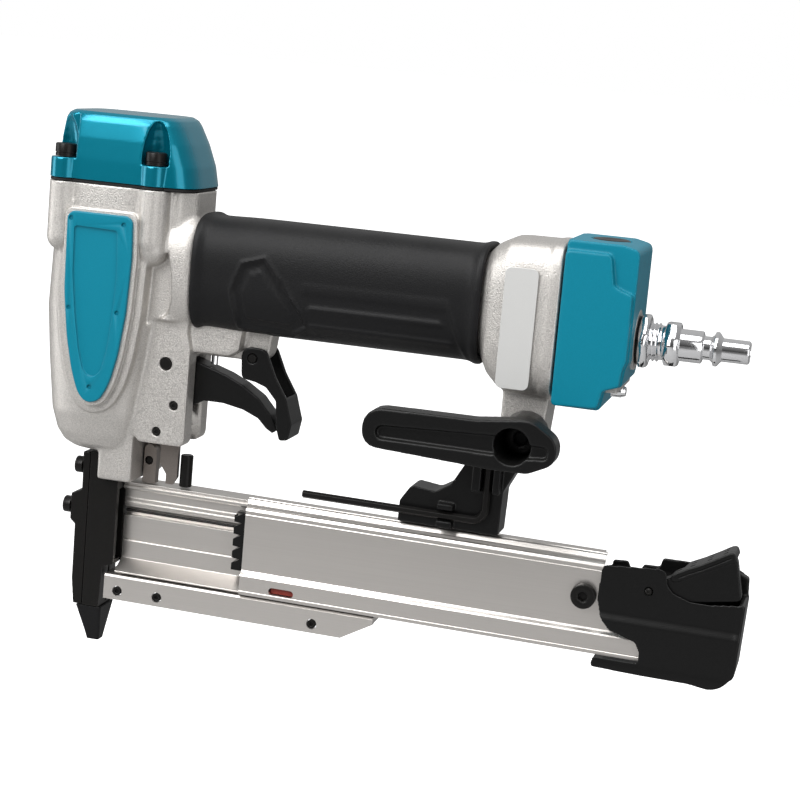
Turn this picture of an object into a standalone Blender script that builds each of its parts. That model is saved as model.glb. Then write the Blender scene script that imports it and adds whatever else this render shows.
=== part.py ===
"""Compact compressed-air pin nailer, modelled piece by piece.

Frame: millimetres below, converted to metres on the meshes. The origin is the middle of the nose
tip's contact face. +X runs back along the handle, +Y to the tool's right side, +Z up the head.
"""
import math

import bmesh
import bpy
from mathutils import Matrix, Vector

MM = 0.001
GAP = 0.3  # between pieces that touch

# Head casting and its cylinder
DRIVE_X = 1.2
HEAD_X = 1.6
HEAD_TOP = 167.2
BOLT_HALF_PITCH = 16.65
COLUMN_RADIUS = 4.9
BORE_RADIUS = 16.2
BORE_FLOOR = 86.0
BLADE_THICK = 0.7
BLADE_WIDE = 1.5

# Cap
CAP_BOTTOM = 168.6
CAP_TOP = 192.0
LUG_TOP = 175.5
SCREW_HEAD_RADIUS = 3.65
SCREW_HEAD_HIGH = 4.4
SCREW_SHANK_RADIUS = 1.9

# Handle
HANDLE_Z = 140.0
GRIP_FRONT = 33.6
GRIP_REAR = 135.8
GRIP_HALF_HIGH = 20.2
GRIP_HALF_WIDE = 17.6
CORE_HALF_HIGH = 17.0
CORE_HALF_WIDE = 14.3
RESERVOIR_HALF_HIGH = 13.0
RESERVOIR_HALF_WIDE = 10.5
BLOCK_FRONT = 139.0
BLOCK_REAR = 162.4
BLOCK_HALF_WIDE = 18.5
BLOCK_LOW = 112.0
BLOCK_HIGH = 164.0

# Rear end and air inlet
COVER_FRONT = 163.0
COVER_REAR = 187.2
COVER_LOW = 110.4
COVER_HIGH = 165.9
COVER_HALF_WIDE = 19.0
INLET_Z = 133.4
DUSTER_X = 175.1

# Triggers
TRIGGER_PIVOT = (25.0, 106.7)
SAFETY_PIVOT = (54.9, 111.6)
VALVE_X = 39.0
CHEEK_INNER = 5.0
CHEEK_OUTER = 12.0
CHEEK_LOW = 77.6

# Nose
NOSE_HALF_WIDE = 6.8
TIP_TOP = 13.5

# Magazine
RAIL_FRONT = 8.5
RAIL_REAR = 183.6
RAIL_LOW = 27.3
RAIL_TOP = 60.4
CHANNEL_Y = 0.6
PANEL_FRONT = 56.6
PANEL_Y = -6.0
CAP_NEAR = -9.6
CAP_FAR = 10.2
MAGAZINE_REAR = 233.9
LATCH_PIVOT = (201.2, 52.4)

# Belt hook
HOOK_PIVOT = (154.4, 98.3)
HOOK_OUTER = -36.5
HOOK_INNER = -27.5
LUG_HALF_WIDE = 9.0

# Pins through the trigger cheeks: X, Z, radius
CHEEK_PINS = {
    "trigger_pin": (*TRIGGER_PIVOT, 2.2),
    "lockout_pin_upper": (28.9, 92.2, 1.5),
    "lockout_pin_lower": (23.2, 82.2, 1.5),
}

# Nose screws: Y, Z
NOSE_SCREWS = {
    "nose_screw_upper": (-4.2, 65.0),
    "nose_screw_lower": (-4.2, 49.8),
}

# Side badges: corners in X, Z
BADGE_OUTLINE = [(-10.9, 157.8), (13.3, 157.8), (13.9, 143), (12.1, 113), (9.4, 101), (6.6, 94),
                 (3.2, 91.6), (-0.6, 93.6), (-4.2, 100), (-7.5, 111), (-9.8, 126)]


# --- Materials -------------------------------------------------------------------------------

def material(name, colour, roughness, metallic):
    """One Principled material; colour is linear RGB."""
    made = bpy.data.materials.new(name)
    made.use_nodes = True
    shader = made.node_tree.nodes["Principled BSDF"]
    shader.inputs["Base Color"].default_value = (*colour, 1.0)
    shader.inputs["Roughness"].default_value = roughness
    shader.inputs["Metallic"].default_value = metallic
    made.diffuse_color = (*colour, 1.0)
    return made


def make_materials():
    """The finishes of the object, by plain names."""
    return {
        "cast": material("cast_alloy", (0.56, 0.54, 0.52), 0.42, 0.75),
        "teal_gloss": material("teal_gloss", (0.0, 0.19, 0.27), 0.18, 0.2),
        "teal_satin": material("teal_satin", (0.0, 0.17, 0.25), 0.5, 0.0),
        "black_rubber": material("black_rubber", (0.012, 0.012, 0.013), 0.7, 0.0),
        "black_plastic": material("black_plastic", (0.012, 0.012, 0.012), 0.45, 0.0),
        "black_oxide": material("black_oxide", (0.02, 0.02, 0.02), 0.4, 0.6),
        "extrusion": material("brushed_extrusion", (0.6, 0.57, 0.54), 0.35, 0.9),
        "chrome": material("bright_plate", (0.7, 0.7, 0.7), 0.1, 1.0),
        "steel": material("bare_steel", (0.32, 0.29, 0.27), 0.4, 0.9),
        "label": material("grey_label", (0.45, 0.45, 0.45), 0.5, 0.0),
        "seal": material("seal_rubber", (0.02, 0.02, 0.02), 0.8, 0.0),
    }


# --- Mesh helpers ----------------------------------------------------------------------------

AXES = {
    "X": lambda u, v, w: (w, u, v),  # outline in Y, Z
    "Y": lambda u, v, w: (u, w, v),  # outline in X, Z
    "Z": lambda u, v, w: (u, v, w),  # outline in X, Y
}


def finish(name, bm, look, smooth=False):
    """Turns a bmesh in millimetres into a scene object in metres."""
    bmesh.ops.recalc_face_normals(bm, faces=bm.faces)
    bmesh.ops.scale(bm, vec=(MM, MM, MM), verts=bm.verts)
    mesh = bpy.data.meshes.new(name)
    bm.to_mesh(mesh)
    bm.free()
    if smooth:
        mesh.shade_smooth()
        mesh.set_sharp_from_angle(angle=math.radians(35))
    made = bpy.data.objects.new(name, mesh)
    bpy.context.scene.collection.objects.link(made)
    if look is not None:
        mesh.materials.append(look)
    return made


def bridge(bm, first, second):
    """Side faces between two rings of vertices of the same length."""
    count = len(first)
    for i in range(count):
        j = (i + 1) % count
        bm.faces.new((first[i], first[j], second[j], second[i]))


def prism(name, outline, axis, low, high, look=None):
    """An outline extruded along an axis from low to high."""
    bm = bmesh.new()
    place = AXES[axis]
    rings = [[bm.verts.new(place(u, v, w)) for u, v in outline] for w in (low, high)]
    bridge(bm, rings[0], rings[1])
    bm.faces.new(rings[0])
    bm.faces.new(rings[1])
    return finish(name, bm, look)


def block(name, low, high, look=None):
    """A box between two corners."""
    outline = [(low[0], low[1]), (high[0], low[1]), (high[0], high[1]), (low[0], high[1])]
    return prism(name, outline, "Z", low[2], high[2], look)


def loft(name, sections, look=None, smooth=True):
    """A closed skin over rings of 3-D points, with flat ends."""
    bm = bmesh.new()
    rings = [[bm.verts.new(point) for point in ring] for ring in sections]
    for first, second in zip(rings, rings[1:]):
        bridge(bm, first, second)
    bm.faces.new(rings[0])
    bm.faces.new(rings[-1])
    return finish(name, bm, look, smooth)


def turned(name, profile, centre, axis, look=None, segments=18):
    """A closed profile of (radius, height) revolved about an axis through centre."""
    bm = bmesh.new()
    place = AXES[axis]
    rings = []
    for radius, height in profile:
        if radius == 0:
            rings.append([bm.verts.new(place(centre[0], centre[1], height))])
            continue
        ring = []
        for i in range(segments):
            angle = 2 * math.pi * (i + 0.5) / segments
            u = centre[0] + radius * math.cos(angle)
            v = centre[1] + radius * math.sin(angle)
            ring.append(bm.verts.new(place(u, v, height)))
        rings.append(ring)
    for first, second in zip(rings, rings[1:] + rings[:1]):
        if len(first) == 1 and len(second) == 1:
            continue
        for i in range(segments):
            j = (i + 1) % segments
            corners = [first[i % len(first)], first[j % len(first)]]
            corners += [second[j % len(second)], second[i % len(second)]]
            unique = list(dict.fromkeys(corners))
            bm.faces.new(unique)
    return finish(name, bm, look, smooth=True)


def rod(name, radius, centre, axis, low, high, look=None, segments=12):
    """A plain cylinder."""
    profile = [(0, low), (radius, low), (radius, high), (0, high)]
    return turned(name, profile, centre, axis, look, segments)


def tube(name, outer, inner, centre, axis, low, high, look=None, segments=20):
    """A plain tube."""
    profile = [(inner, low), (outer, low), (outer, high), (inner, high)]
    return turned(name, profile, centre, axis, look, segments)


def hexagon(flats, centre):
    """Corner points of a hexagon by its width over the flats."""
    radius = flats / math.sqrt(3)
    angles = [math.pi / 3 * i for i in range(6)]
    return [(centre[0] + radius * math.cos(a), centre[1] + radius * math.sin(a)) for a in angles]


def superellipse(centre, half_u, half_v, power, count):
    """Points of a rounded box outline; half_u may be a pair (low side, high side)."""
    low, high = half_u if isinstance(half_u, tuple) else (half_u, half_u)
    points = []
    for i in range(count):
        angle = 2 * math.pi * (i + 0.5) / count
        c, s = math.cos(angle), math.sin(angle)
        reach = high if c > 0 else low
        u = centre[0] + reach * math.copysign(abs(c) ** (2 / power), c)
        v = centre[1] + half_v * math.copysign(abs(s) ** (2 / power), s)
        points.append((u, v))
    return points


def rounded(points, radii, steps=4):
    """An outline whose corners are rounded; radii is one number or one for each corner."""
    count = len(points)
    sizes = radii if isinstance(radii, (list, tuple)) else [radii] * count
    result = []
    for i, corner in enumerate(points):
        here = Vector(corner)
        before = (Vector(points[i - 1]) - here).normalized()
        after = (Vector(points[(i + 1) % count]) - here).normalized()
        if sizes[i] == 0:
            result.append(tuple(here))
            continue
        half = before.angle(after) / 2
        reach = sizes[i] / math.tan(half)
        middle = here + (before + after).normalized() * sizes[i] / math.sin(half)
        start = here + before * reach - middle
        end = here + after * reach - middle
        turn = start.angle_signed(end)
        for k in range(steps + 1):
            angle = -turn * k / steps
            c, s = math.cos(angle), math.sin(angle)
            result.append((middle.x + start.x * c - start.y * s, middle.y + start.x * s + start.y * c))
    return result


def combine(target, tool, operation):
    """Booleans tool into target and leaves the tool out of the model."""
    change = target.modifiers.new(tool.name, "BOOLEAN")
    change.operation = operation
    change.object = tool
    tool.hide_render = True
    tool.display_type = "WIRE"
    return target


def cut(target, *tools):
    """Removes each tool from the target."""
    for tool in tools:
        combine(target, tool, "DIFFERENCE")
    return target


def fuse(target, *tools):
    """Adds each tool to the target."""
    for tool in tools:
        combine(target, tool, "UNION")
    return target


def pivot_at(piece, point):
    """Moves a piece's origin to a joint axis, leaving its shape where it is."""
    offset = Vector(point) * MM
    piece.data.transform(Matrix.Translation(-offset))
    piece.location = offset
    return piece


def coil(name, radius, wire, centre, axis, low, high, turns, look):
    """A helical compression spring with closed wire ends."""
    place = AXES[axis]
    sides = 4
    steps = turns * 8
    rings = []
    for k in range(steps + 1):
        angle = 2 * math.pi * k / 8
        height = low + wire + (high - low - 2 * wire) * k / steps
        ring = []
        for i in range(sides):
            around = 2 * math.pi * i / sides
            reach = radius + wire * math.cos(around)
            u = centre[0] + reach * math.cos(angle)
            v = centre[1] + reach * math.sin(angle)
            ring.append(place(u, v, height + wire * math.sin(around)))
        rings.append(ring)
    return loft(name, rings, look)


# --- Head casting ----------------------------------------------------------------------------

def head_ring(height, front, rear, half_wide, power=2.8, count=28):
    """One ring of the head casting: front and rear are X positions."""
    outline = superellipse((HEAD_X, 0), (HEAD_X - front, rear - HEAD_X), half_wide, power, count)
    return [(x, y, height) for x, y in outline]


def bolt_places():
    """The four cap screws by name, at the corners of a square."""
    places = {}
    for end, x_sign in (("front", -1), ("rear", 1)):
        for side, y_sign in (("left", -1), ("right", 1)):
            x = HEAD_X + x_sign * BOLT_HALF_PITCH
            places[f"{end}_{side}"] = (x, y_sign * BOLT_HALF_PITCH)
    return places


def handle_ring(x, centre_z, half_high, half_wide, power=3.2, count=24):
    """One ring of the handle at a station along X."""
    outline = superellipse((0, centre_z), half_wide, half_high, power, count)
    return [(x, y, z) for y, z in outline]


def scaled_outline(points, growth):
    """An outline moved outwards by growth, by its own corner directions."""
    result = []
    for i, corner in enumerate(points):
        here = Vector(corner)
        before = (Vector(points[i - 1]) - here).normalized()
        after = (Vector(points[(i + 1) % len(points)]) - here).normalized()
        along = (after - before).normalized()
        outward = Vector((-along.y, along.x))
        result.append(tuple(here + outward * growth))
    return result


def make_body(looks):
    """The one-piece casting: head, handle tube, rear block, trigger cheeks and nose foot."""
    rings = [
        head_ring(71.8, -8.5, 11.5, 8.5),
        head_ring(74.0, -13.0, 13.2, 12.0),
        head_ring(78.5, -16.6, 14.6, 15.2),
        head_ring(86.0, -18.9, 16.4, 17.8),
        head_ring(104.6, -20.8, 19.0, 19.6),
        head_ring(122.7, -22.3, 21.5, 20.4),
        head_ring(142.0, -21.6, 23.5, 20.5),
        head_ring(HEAD_TOP + 1, -20.4, 24.0, 20.3),
    ]
    body = loft("body_housing", rings, looks["cast"])
    for name, (x, y) in bolt_places().items():
        low = 142.0 if name.startswith("front") else 144.0
        profile = [(0, low - 2), (3.2, low - 1), (COLUMN_RADIUS, low + 4), (COLUMN_RADIUS, HEAD_TOP + 2)]
        profile += [(0, HEAD_TOP + 2)]
        fuse(body, turned(f"add_column_{name}", profile, (x, y), "Z", None, 12))
    back = rounded([(14, -15.5), (26, -14.5), (32.4, -8), (32.4, 8), (26, 14.5), (14, 15.5)], 3.0)
    fuse(body, prism("add_head_back", back, "Z", 121.0, HEAD_TOP + 2))
    cut(body, block("cut_head_top", (-40, -40, HEAD_TOP), (60, 40, HEAD_TOP + 20)))
    for side in (-1, 1):
        outline = scaled_outline(BADGE_OUTLINE, 2.0)
        fuse(body, prism(f"add_badge_seat_{side}", outline, "Y", side * 9.0, side * 20.7))

    stations = [
        handle_ring(16.0, 139.5, 21.0, 18.0),
        handle_ring(30.0, 139.6, 20.6, 17.2),
        handle_ring(GRIP_FRONT - 0.6, HANDLE_Z, 19.2, 16.4),
        handle_ring(GRIP_FRONT + 1.5, HANDLE_Z, CORE_HALF_HIGH, CORE_HALF_WIDE),
        handle_ring(GRIP_REAR - 1.0, HANDLE_Z, CORE_HALF_HIGH, CORE_HALF_WIDE),
        handle_ring(GRIP_REAR + 0.8, HANDLE_Z, 19.0, 16.2),
        handle_ring(BLOCK_FRONT + 0.6, 138.4, 23.6, 17.6, 4.0),
        handle_ring(143.2, 138.0, 26.0, BLOCK_HALF_WIDE, 5.0),
        handle_ring(BLOCK_REAR, (BLOCK_LOW + BLOCK_HIGH) / 2, 26.2, BLOCK_HALF_WIDE, 5.0),
    ]
    fuse(body, loft("add_handle", stations))

    belly = rounded([(20, 108.0), (30, 110.2), (50, 110.4), (54.9, 107.9), (60.2, 112.5), (62.0, 126), (20, 126)],
                    [0, 0, 2, 3.6, 4, 0, 0])
    fuse(body, prism("add_trigger_housing", belly, "Y", -4.7, 4.7))
    wide_belly = [(20, 112.0), (47, 112.0), (50, 114.0), (52, 126), (20, 126)]
    fuse(body, prism("add_handle_underside", wide_belly, "Y", -9.5, 9.5))
    cheek = rounded([(10, 124), (10, 86), (16.5, CHEEK_LOW), (33.9, CHEEK_LOW), (33.9, 114), (33.1, 118), (33.1, 124)],
                    [0, 0, 2, 2.2, 0, 0, 0])
    fuse(body, prism("add_trigger_cheeks", cheek, "Y", -CHEEK_OUTER, CHEEK_OUTER))
    fuse(body, block("add_nose_foot", (1.6, -11.4, 62.0), (14.4, 11.4, 88.0)))
    ear = rounded([(12, 76), (12, 63.5), (19.6, 63.5), (20.0, 76)], [0, 0, 4, 1])
    fuse(body, prism("add_hanger_ear", ear, "Y", 3.9, 9.0))
    lug = rounded([(144.8, 116), (144.8, 92.0), (159.5, 92.0), (161.4, 116)], [0, 1, 3, 0])
    fuse(body, prism("add_hook_lug", lug, "Y", -LUG_HALF_WIDE, LUG_HALF_WIDE))

    cut(body, rod("cut_bore", BORE_RADIUS, (DRIVE_X, 0), "Z", BORE_FLOOR, HEAD_TOP + 5, None, 20))
    cut(body, rod("cut_driver_hole", 2.2, (DRIVE_X, 0), "Z", 60, BORE_FLOOR + 1, None, 12))
    cut(body, block("cut_nose_seat", (-6.0, -NOSE_HALF_WIDE - GAP, 61), (3.0, NOSE_HALF_WIDE + GAP, 71.0)))
    cut(body, block("cut_cheek_gap", (20.0, -CHEEK_INNER, 70), (40.0, CHEEK_INNER, 109.6)))
    cut(body, block("cut_trigger_roof", (20.6, -CHEEK_INNER, 108), (33.0, CHEEK_INNER, 112.4)))
    cut(body, block("cut_hanger_gap", (14.7, -3.2, 60), (24, 3.6, 79)))
    reservoir = [handle_ring(x, HANDLE_Z, RESERVOIR_HALF_HIGH, RESERVOIR_HALF_WIDE, 3.0, 16)
                 for x in (10.0, BLOCK_REAR + 4)]
    cut(body, loft("cut_reservoir", reservoir))
    chamber = [handle_ring(x, 138.0, 21.0, 14.5, 4.0, 16) for x in (146.0, BLOCK_REAR + 5)]
    cut(body, loft("cut_rear_chamber", chamber))
    cut(body, rod("cut_valve_seat", 4.3, (VALVE_X, 0), "Z", 100, 132))
    for name, (x, z, radius) in CHEEK_PINS.items():
        cut(body, rod(f"cut_{name}", radius + GAP, (x, z), "Y", -15, 15, None, 12))
    cut(body, rod("cut_safety_pin", 1.5 + GAP, SAFETY_PIVOT, "Y", -8, 8, None, 12))
    cut(body, rod("cut_hanger_pin", 1.6, (17.0, 69.0), "Y", 3, 10, None, 12))
    cut(body, rod("cut_hook_screw", 2.3, HOOK_PIVOT, "Y", -12, 4, None, 12))
    for name, (x, y) in bolt_places().items():
        cut(body, rod(f"cut_column_{name}", SCREW_SHANK_RADIUS + GAP, (x, y), "Z", 149.5, 175, None, 12))
    for name, (y, z) in NOSE_SCREWS.items():
        if z > 60:
            cut(body, rod(f"cut_{name}", 1.9, (y, z), "X", 0, 12.3, None, 12))
    return body


def cap_ring(height, front, rear, half_wide):
    """One ring of the cap."""
    return head_ring(height, front, rear, half_wide, 3.6, 32)


def make_cap(looks):
    """The cap with its gasket and four screws."""
    rings = [
        cap_ring(CAP_BOTTOM - 1, -20.4, 32.8, 20.3),
        cap_ring(176.0, -19.8, 30.9, 20.1),
        cap_ring(184.0, -19.1, 27.6, 19.6),
        cap_ring(190.2, -18.0, 23.8, 18.6),
        cap_ring(CAP_TOP, -15.5, 21.2, 16.2),
    ]
    cap = loft("top_cap", rings, looks["teal_gloss"])
    gasket = loft("cap_gasket", [cap_ring(z, -19.9, 32.2, 19.9) for z in (HEAD_TOP - 1, CAP_BOTTOM + 1)],
                  looks["seal"])
    for name, (x, y) in bolt_places().items():
        fuse(cap, rod(f"add_cap_lug_{name}", COLUMN_RADIUS, (x, y), "Z", CAP_BOTTOM - 2, LUG_TOP))
        fuse(gasket, rod(f"add_gasket_lug_{name}", COLUMN_RADIUS - GAP, (x, y), "Z", HEAD_TOP - 3, CAP_BOTTOM + 3))
    cut(cap, block("cut_cap_bottom", (-40, -40, CAP_BOTTOM - 20), (60, 40, CAP_BOTTOM)))
    cut(gasket, block("cut_gasket_bottom", (-40, -40, HEAD_TOP - 9), (60, 40, HEAD_TOP + GAP)))
    cut(gasket, block("cut_gasket_top", (-40, -40, CAP_BOTTOM - GAP), (60, 40, CAP_BOTTOM + 9)))
    for name, (x, y) in bolt_places().items():
        pocket = [(0, LUG_TOP + 0.02), (4.7, LUG_TOP + 0.02), (4.9, 184.0), (3.9, 190.0), (0, 190.6)]
        cut(cap, turned(f"cut_cap_pocket_{name}", pocket, (x, y), "Z", None, 14))
        cut(cap, rod(f"cut_cap_hole_{name}", SCREW_SHANK_RADIUS + GAP, (x, y), "Z", 160, 180, None, 8))
        cut(gasket, rod(f"cut_gasket_hole_{name}", SCREW_SHANK_RADIUS + GAP, (x, y), "Z", 160, 180, None, 8))
        low = LUG_TOP + GAP
        screw = [(0, 150.5), (SCREW_SHANK_RADIUS, 150.5), (SCREW_SHANK_RADIUS, low), (SCREW_HEAD_RADIUS, low),
                 (SCREW_HEAD_RADIUS, low + SCREW_HEAD_HIGH), (0, low + SCREW_HEAD_HIGH)]
        made = turned(f"cap_screw_{name}", screw, (x, y), "Z", looks["black_oxide"], 12)
        cut(made, prism(f"cut_key_socket_{name}", hexagon(3.0, (x, y)), "Z", low + 2.0, low + 6))
    valve_space = [(0, CAP_BOTTOM - 3), (BORE_RADIUS, CAP_BOTTOM - 3), (BORE_RADIUS, 178.0)]
    valve_space += [(8.5, 178.0), (8.5, 184.0), (0, 184.0)]
    cut(cap, turned("cut_valve_space", valve_space, (DRIVE_X, 0), "Z", None, 20))
    cut(gasket, rod("cut_gasket_bore", BORE_RADIUS + 0.4, (DRIVE_X, 0), "Z", 160, 175, None, 20))


# --- Drive -----------------------------------------------------------------------------------

def make_drive(looks):
    """The cylinder, piston, driver blade, bumper and head valve inside the head."""
    centre = (DRIVE_X, 0)
    sleeve_low = BORE_FLOOR + GAP
    tube("cylinder_sleeve", BORE_RADIUS - GAP, 13.2, centre, "Z", sleeve_low, 162.0, looks["steel"], 20)
    bumper = [(3.2, sleeve_low), (12.8, sleeve_low), (12.8, 94.5), (11.0, 98.0), (3.2, 98.0)]
    turned("bumper", bumper, centre, "Z", looks["seal"], 16)

    piston_low = 147.0
    piston = [(0, piston_low), (5.0, piston_low), (5.0, 150.0), (12.7, 150.0), (12.7, 152.8), (11.2, 152.8)]
    piston += [(11.2, 155.6), (12.7, 155.6), (12.7, 160.0), (0, 160.0)]
    head = turned("piston", piston, centre, "Z", looks["steel"], 20)
    slot = block("cut_blade_slot", (DRIVE_X - 0.65, -1.05, 140.0), (DRIVE_X + 0.65, 1.05, 151.5))
    pivot_at(cut(head, slot), (DRIVE_X, 0, piston_low))
    ring = [(11.5, 153.1), (12.9, 153.1), (12.9, 155.3), (11.5, 155.3)]
    pivot_at(turned("piston_ring", ring, centre, "Z", looks["seal"], 20), (DRIVE_X, 0, piston_low))
    half_thick = BLADE_THICK / 2
    half_wide = BLADE_WIDE / 2
    blade = block("driver_blade", (DRIVE_X - half_thick, -half_wide, 50.0),
                  (DRIVE_X + half_thick, half_wide, 151.2), looks["steel"])
    pivot_at(blade, (DRIVE_X, 0, piston_low))

    valve = [(0, 162.3), (15.7, 162.3), (15.7, 166.0), (8.0, 166.0), (8.0, 176.0), (0, 176.0)]
    pivot_at(turned("head_valve", valve, centre, "Z", looks["black_plastic"], 20), (DRIVE_X, 0, 162.3))
    coil("head_valve_spring", 11.5, 0.8, centre, "Z", 166.3, 177.7, 3, looks["steel"])


# --- Handle, rear end and air inlet ----------------------------------------------------------

def make_grip(looks):
    """The rubber sleeve on the handle."""
    stations = [
        handle_ring(GRIP_FRONT, HANDLE_Z, GRIP_HALF_HIGH + 0.4, GRIP_HALF_WIDE + 0.5),
        handle_ring(GRIP_FRONT + 4, HANDLE_Z, GRIP_HALF_HIGH - 0.4, GRIP_HALF_WIDE - 0.3),
        handle_ring(62.0, HANDLE_Z, GRIP_HALF_HIGH, GRIP_HALF_WIDE),
        handle_ring(100.0, HANDLE_Z, GRIP_HALF_HIGH, GRIP_HALF_WIDE),
        handle_ring(GRIP_REAR - 4, HANDLE_Z, GRIP_HALF_HIGH - 0.2, GRIP_HALF_WIDE - 0.1),
        handle_ring(GRIP_REAR, HANDLE_Z, GRIP_HALF_HIGH + 0.4, GRIP_HALF_WIDE + 0.4),
    ]
    grip = loft("grip_sleeve", stations, looks["black_rubber"])
    inside = [handle_ring(x, HANDLE_Z, high, wide) for x, high, wide in (
        (GRIP_FRONT - 3, 20.4, 17.6), (GRIP_FRONT - 0.3, 19.9, 17.1),
        (GRIP_FRONT + 1.8, CORE_HALF_HIGH + GAP, CORE_HALF_WIDE + GAP),
        (GRIP_REAR - 1.4, CORE_HALF_HIGH + GAP, CORE_HALF_WIDE + GAP),
        (GRIP_REAR + 0.4, 19.6, 16.8), (GRIP_REAR + 3, 20.4, 17.6))]
    cut(grip, loft("cut_grip_inside", inside))
    cut(grip, block("cut_grip_underside", (GRIP_FRONT - 4, -9.8, 112), (62.4, 9.8, 126.3)))
    return grip


def make_rear(looks):
    """The rear cap under its teal cover, with the duster and the air inlet."""
    side = rounded([(COVER_FRONT, COVER_LOW), (178.9, COVER_LOW), (180.0, 117.8), (COVER_REAR, 119.5),
                    (COVER_REAR, COVER_HIGH), (COVER_FRONT, COVER_HIGH)], [1.5, 2, 2, 2.5, 2.5, 1.5])
    cover = prism("rear_cover", side, "Y", -COVER_HALF_WIDE, COVER_HALF_WIDE, looks["teal_satin"])
    for edge in (-1, 1):
        high = [(edge * 21, 163.0), (edge * 15.5, 167.5), (edge * 21, 167.5)]
        low = [(edge * 21, 113.0), (edge * 15.5, 109.0), (edge * 21, 109.0)]
        for label, outline in (("high", high), ("low", low)):
            cut(cover, prism(f"cut_cover_{label}_{edge}", outline, "X", 160, 190))
    cut(cover, block("cut_cover_inside", (160, -16.4, 116.5), (184.5, 16.4, 163.2)))
    cut(cover, rod("cut_cover_inlet", 10.6, (0, INLET_Z), "X", 180, 190, None, 20))
    cut(cover, rod("cut_cover_button", 7.0, (DUSTER_X, 0), "Z", 160, 170, None, 20))
    cut(cover, rod("cut_cover_nozzle", 2.5, (6, 114.4), "X", 170.6, 185))

    body = block("rear_cap", (BLOCK_REAR + GAP, -16.1, 116.8), (184.2, 16.1, 160.4), looks["cast"])
    fuse(body, rod("add_inlet_boss", 10.2, (0, INLET_Z), "X", 181.3, 187.3, None, 20))
    cut(body, rod("cut_inlet_bore", 7.4, (0, INLET_Z), "X", 172.2, 190, None, 16))
    cut(body, rod("cut_inlet_passage", 5.0, (0, INLET_Z), "X", 160, 175))
    cut(body, rod("cut_duster_bore", 7.0, (DUSTER_X, 0), "Z", 149.9, 162, None, 16))

    centre = (0, INLET_Z)
    fitting = prism("inlet_fitting", hexagon(17.0, centre), "X", 188.2, 191.4, looks["chrome"])
    fuse(fitting, rod("add_fitting_spigot", 7.1, centre, "X", 172.4, 189, None, 16))
    cut(fitting, rod("cut_fitting_bore", 6.9, centre, "X", 184.0, 195, None, 16))
    cut(fitting, rod("cut_fitting_passage", 4.0, centre, "X", 170, 185))
    turned("inlet_seal", [(7.5, 187.5), (9.6, 187.5), (9.6, 187.95), (7.5, 187.95)], centre, "X", looks["seal"], 16)

    profile = [(2.5, 184.3), (6.5, 184.3)]
    pitch = 1.6
    for k in range(3):
        start = 191.6 + k * pitch
        profile += [(6.0, start), (6.6, start + pitch / 2)]
    profile += [(5.9, 196.6), (5.9, 201.0), (5.5, 201.9), (5.5, 209.2), (4.0, 209.8), (4.0, 212.0), (5.8, 213.2)]
    profile += [(5.8, 214.4), (3.95, 215.8), (3.95, 224.3), (3.5, 225.0), (2.5, 225.0)]
    plug = turned("air_plug", profile, centre, "X", looks["chrome"], 16)
    fuse(plug, cut(prism("add_plug_nut", hexagon(14.0, centre), "X", 196.7, 201.6),
                   rod("cut_plug_nut", 4.0, centre, "X", 190, 210)))

    button = [(0, 156.9), (6.7, 156.9), (6.7, 165.4), (6.0, 166.1), (0, 166.1)]
    pivot_at(turned("duster_button", button, (DUSTER_X, 0), "Z", looks["black_plastic"], 20), (DUSTER_X, 0, 166.1))
    coil("duster_spring", 4.5, 0.6, (DUSTER_X, 0), "Z", 150.2, 156.6, 3, looks["steel"])
    nozzle = [(0.9, 171.0), (2.2, 171.0), (2.2, 183.0), (1.7, 184.6), (0.9, 184.6)]
    turned("duster_nozzle", nozzle, (6, 114.4), "X", looks["chrome"], 12)
    outline = rounded([(143.7, 155.0), (143.7, 114.4), (155.0, 114.4), (155.0, 155.0)], 2.0)
    prism("rear_label", outline, "Y", -BLOCK_HALF_WIDE - 0.7, -BLOCK_HALF_WIDE - GAP, looks["label"])


def make_badges(looks):
    """The two side badges in their raised seats."""
    for name, side in (("badge_left", -1), ("badge_right", 1)):
        badge = prism(name, BADGE_OUTLINE, "Y", side * 21.0, side * 22.6, looks["teal_satin"])
        recess = scaled_outline(BADGE_OUTLINE, -3.4)
        cut(badge, prism(f"cut_{name}_panel", recess, "Y", side * 21.9, side * 24.0))


# --- Triggers --------------------------------------------------------------------------------

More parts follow.
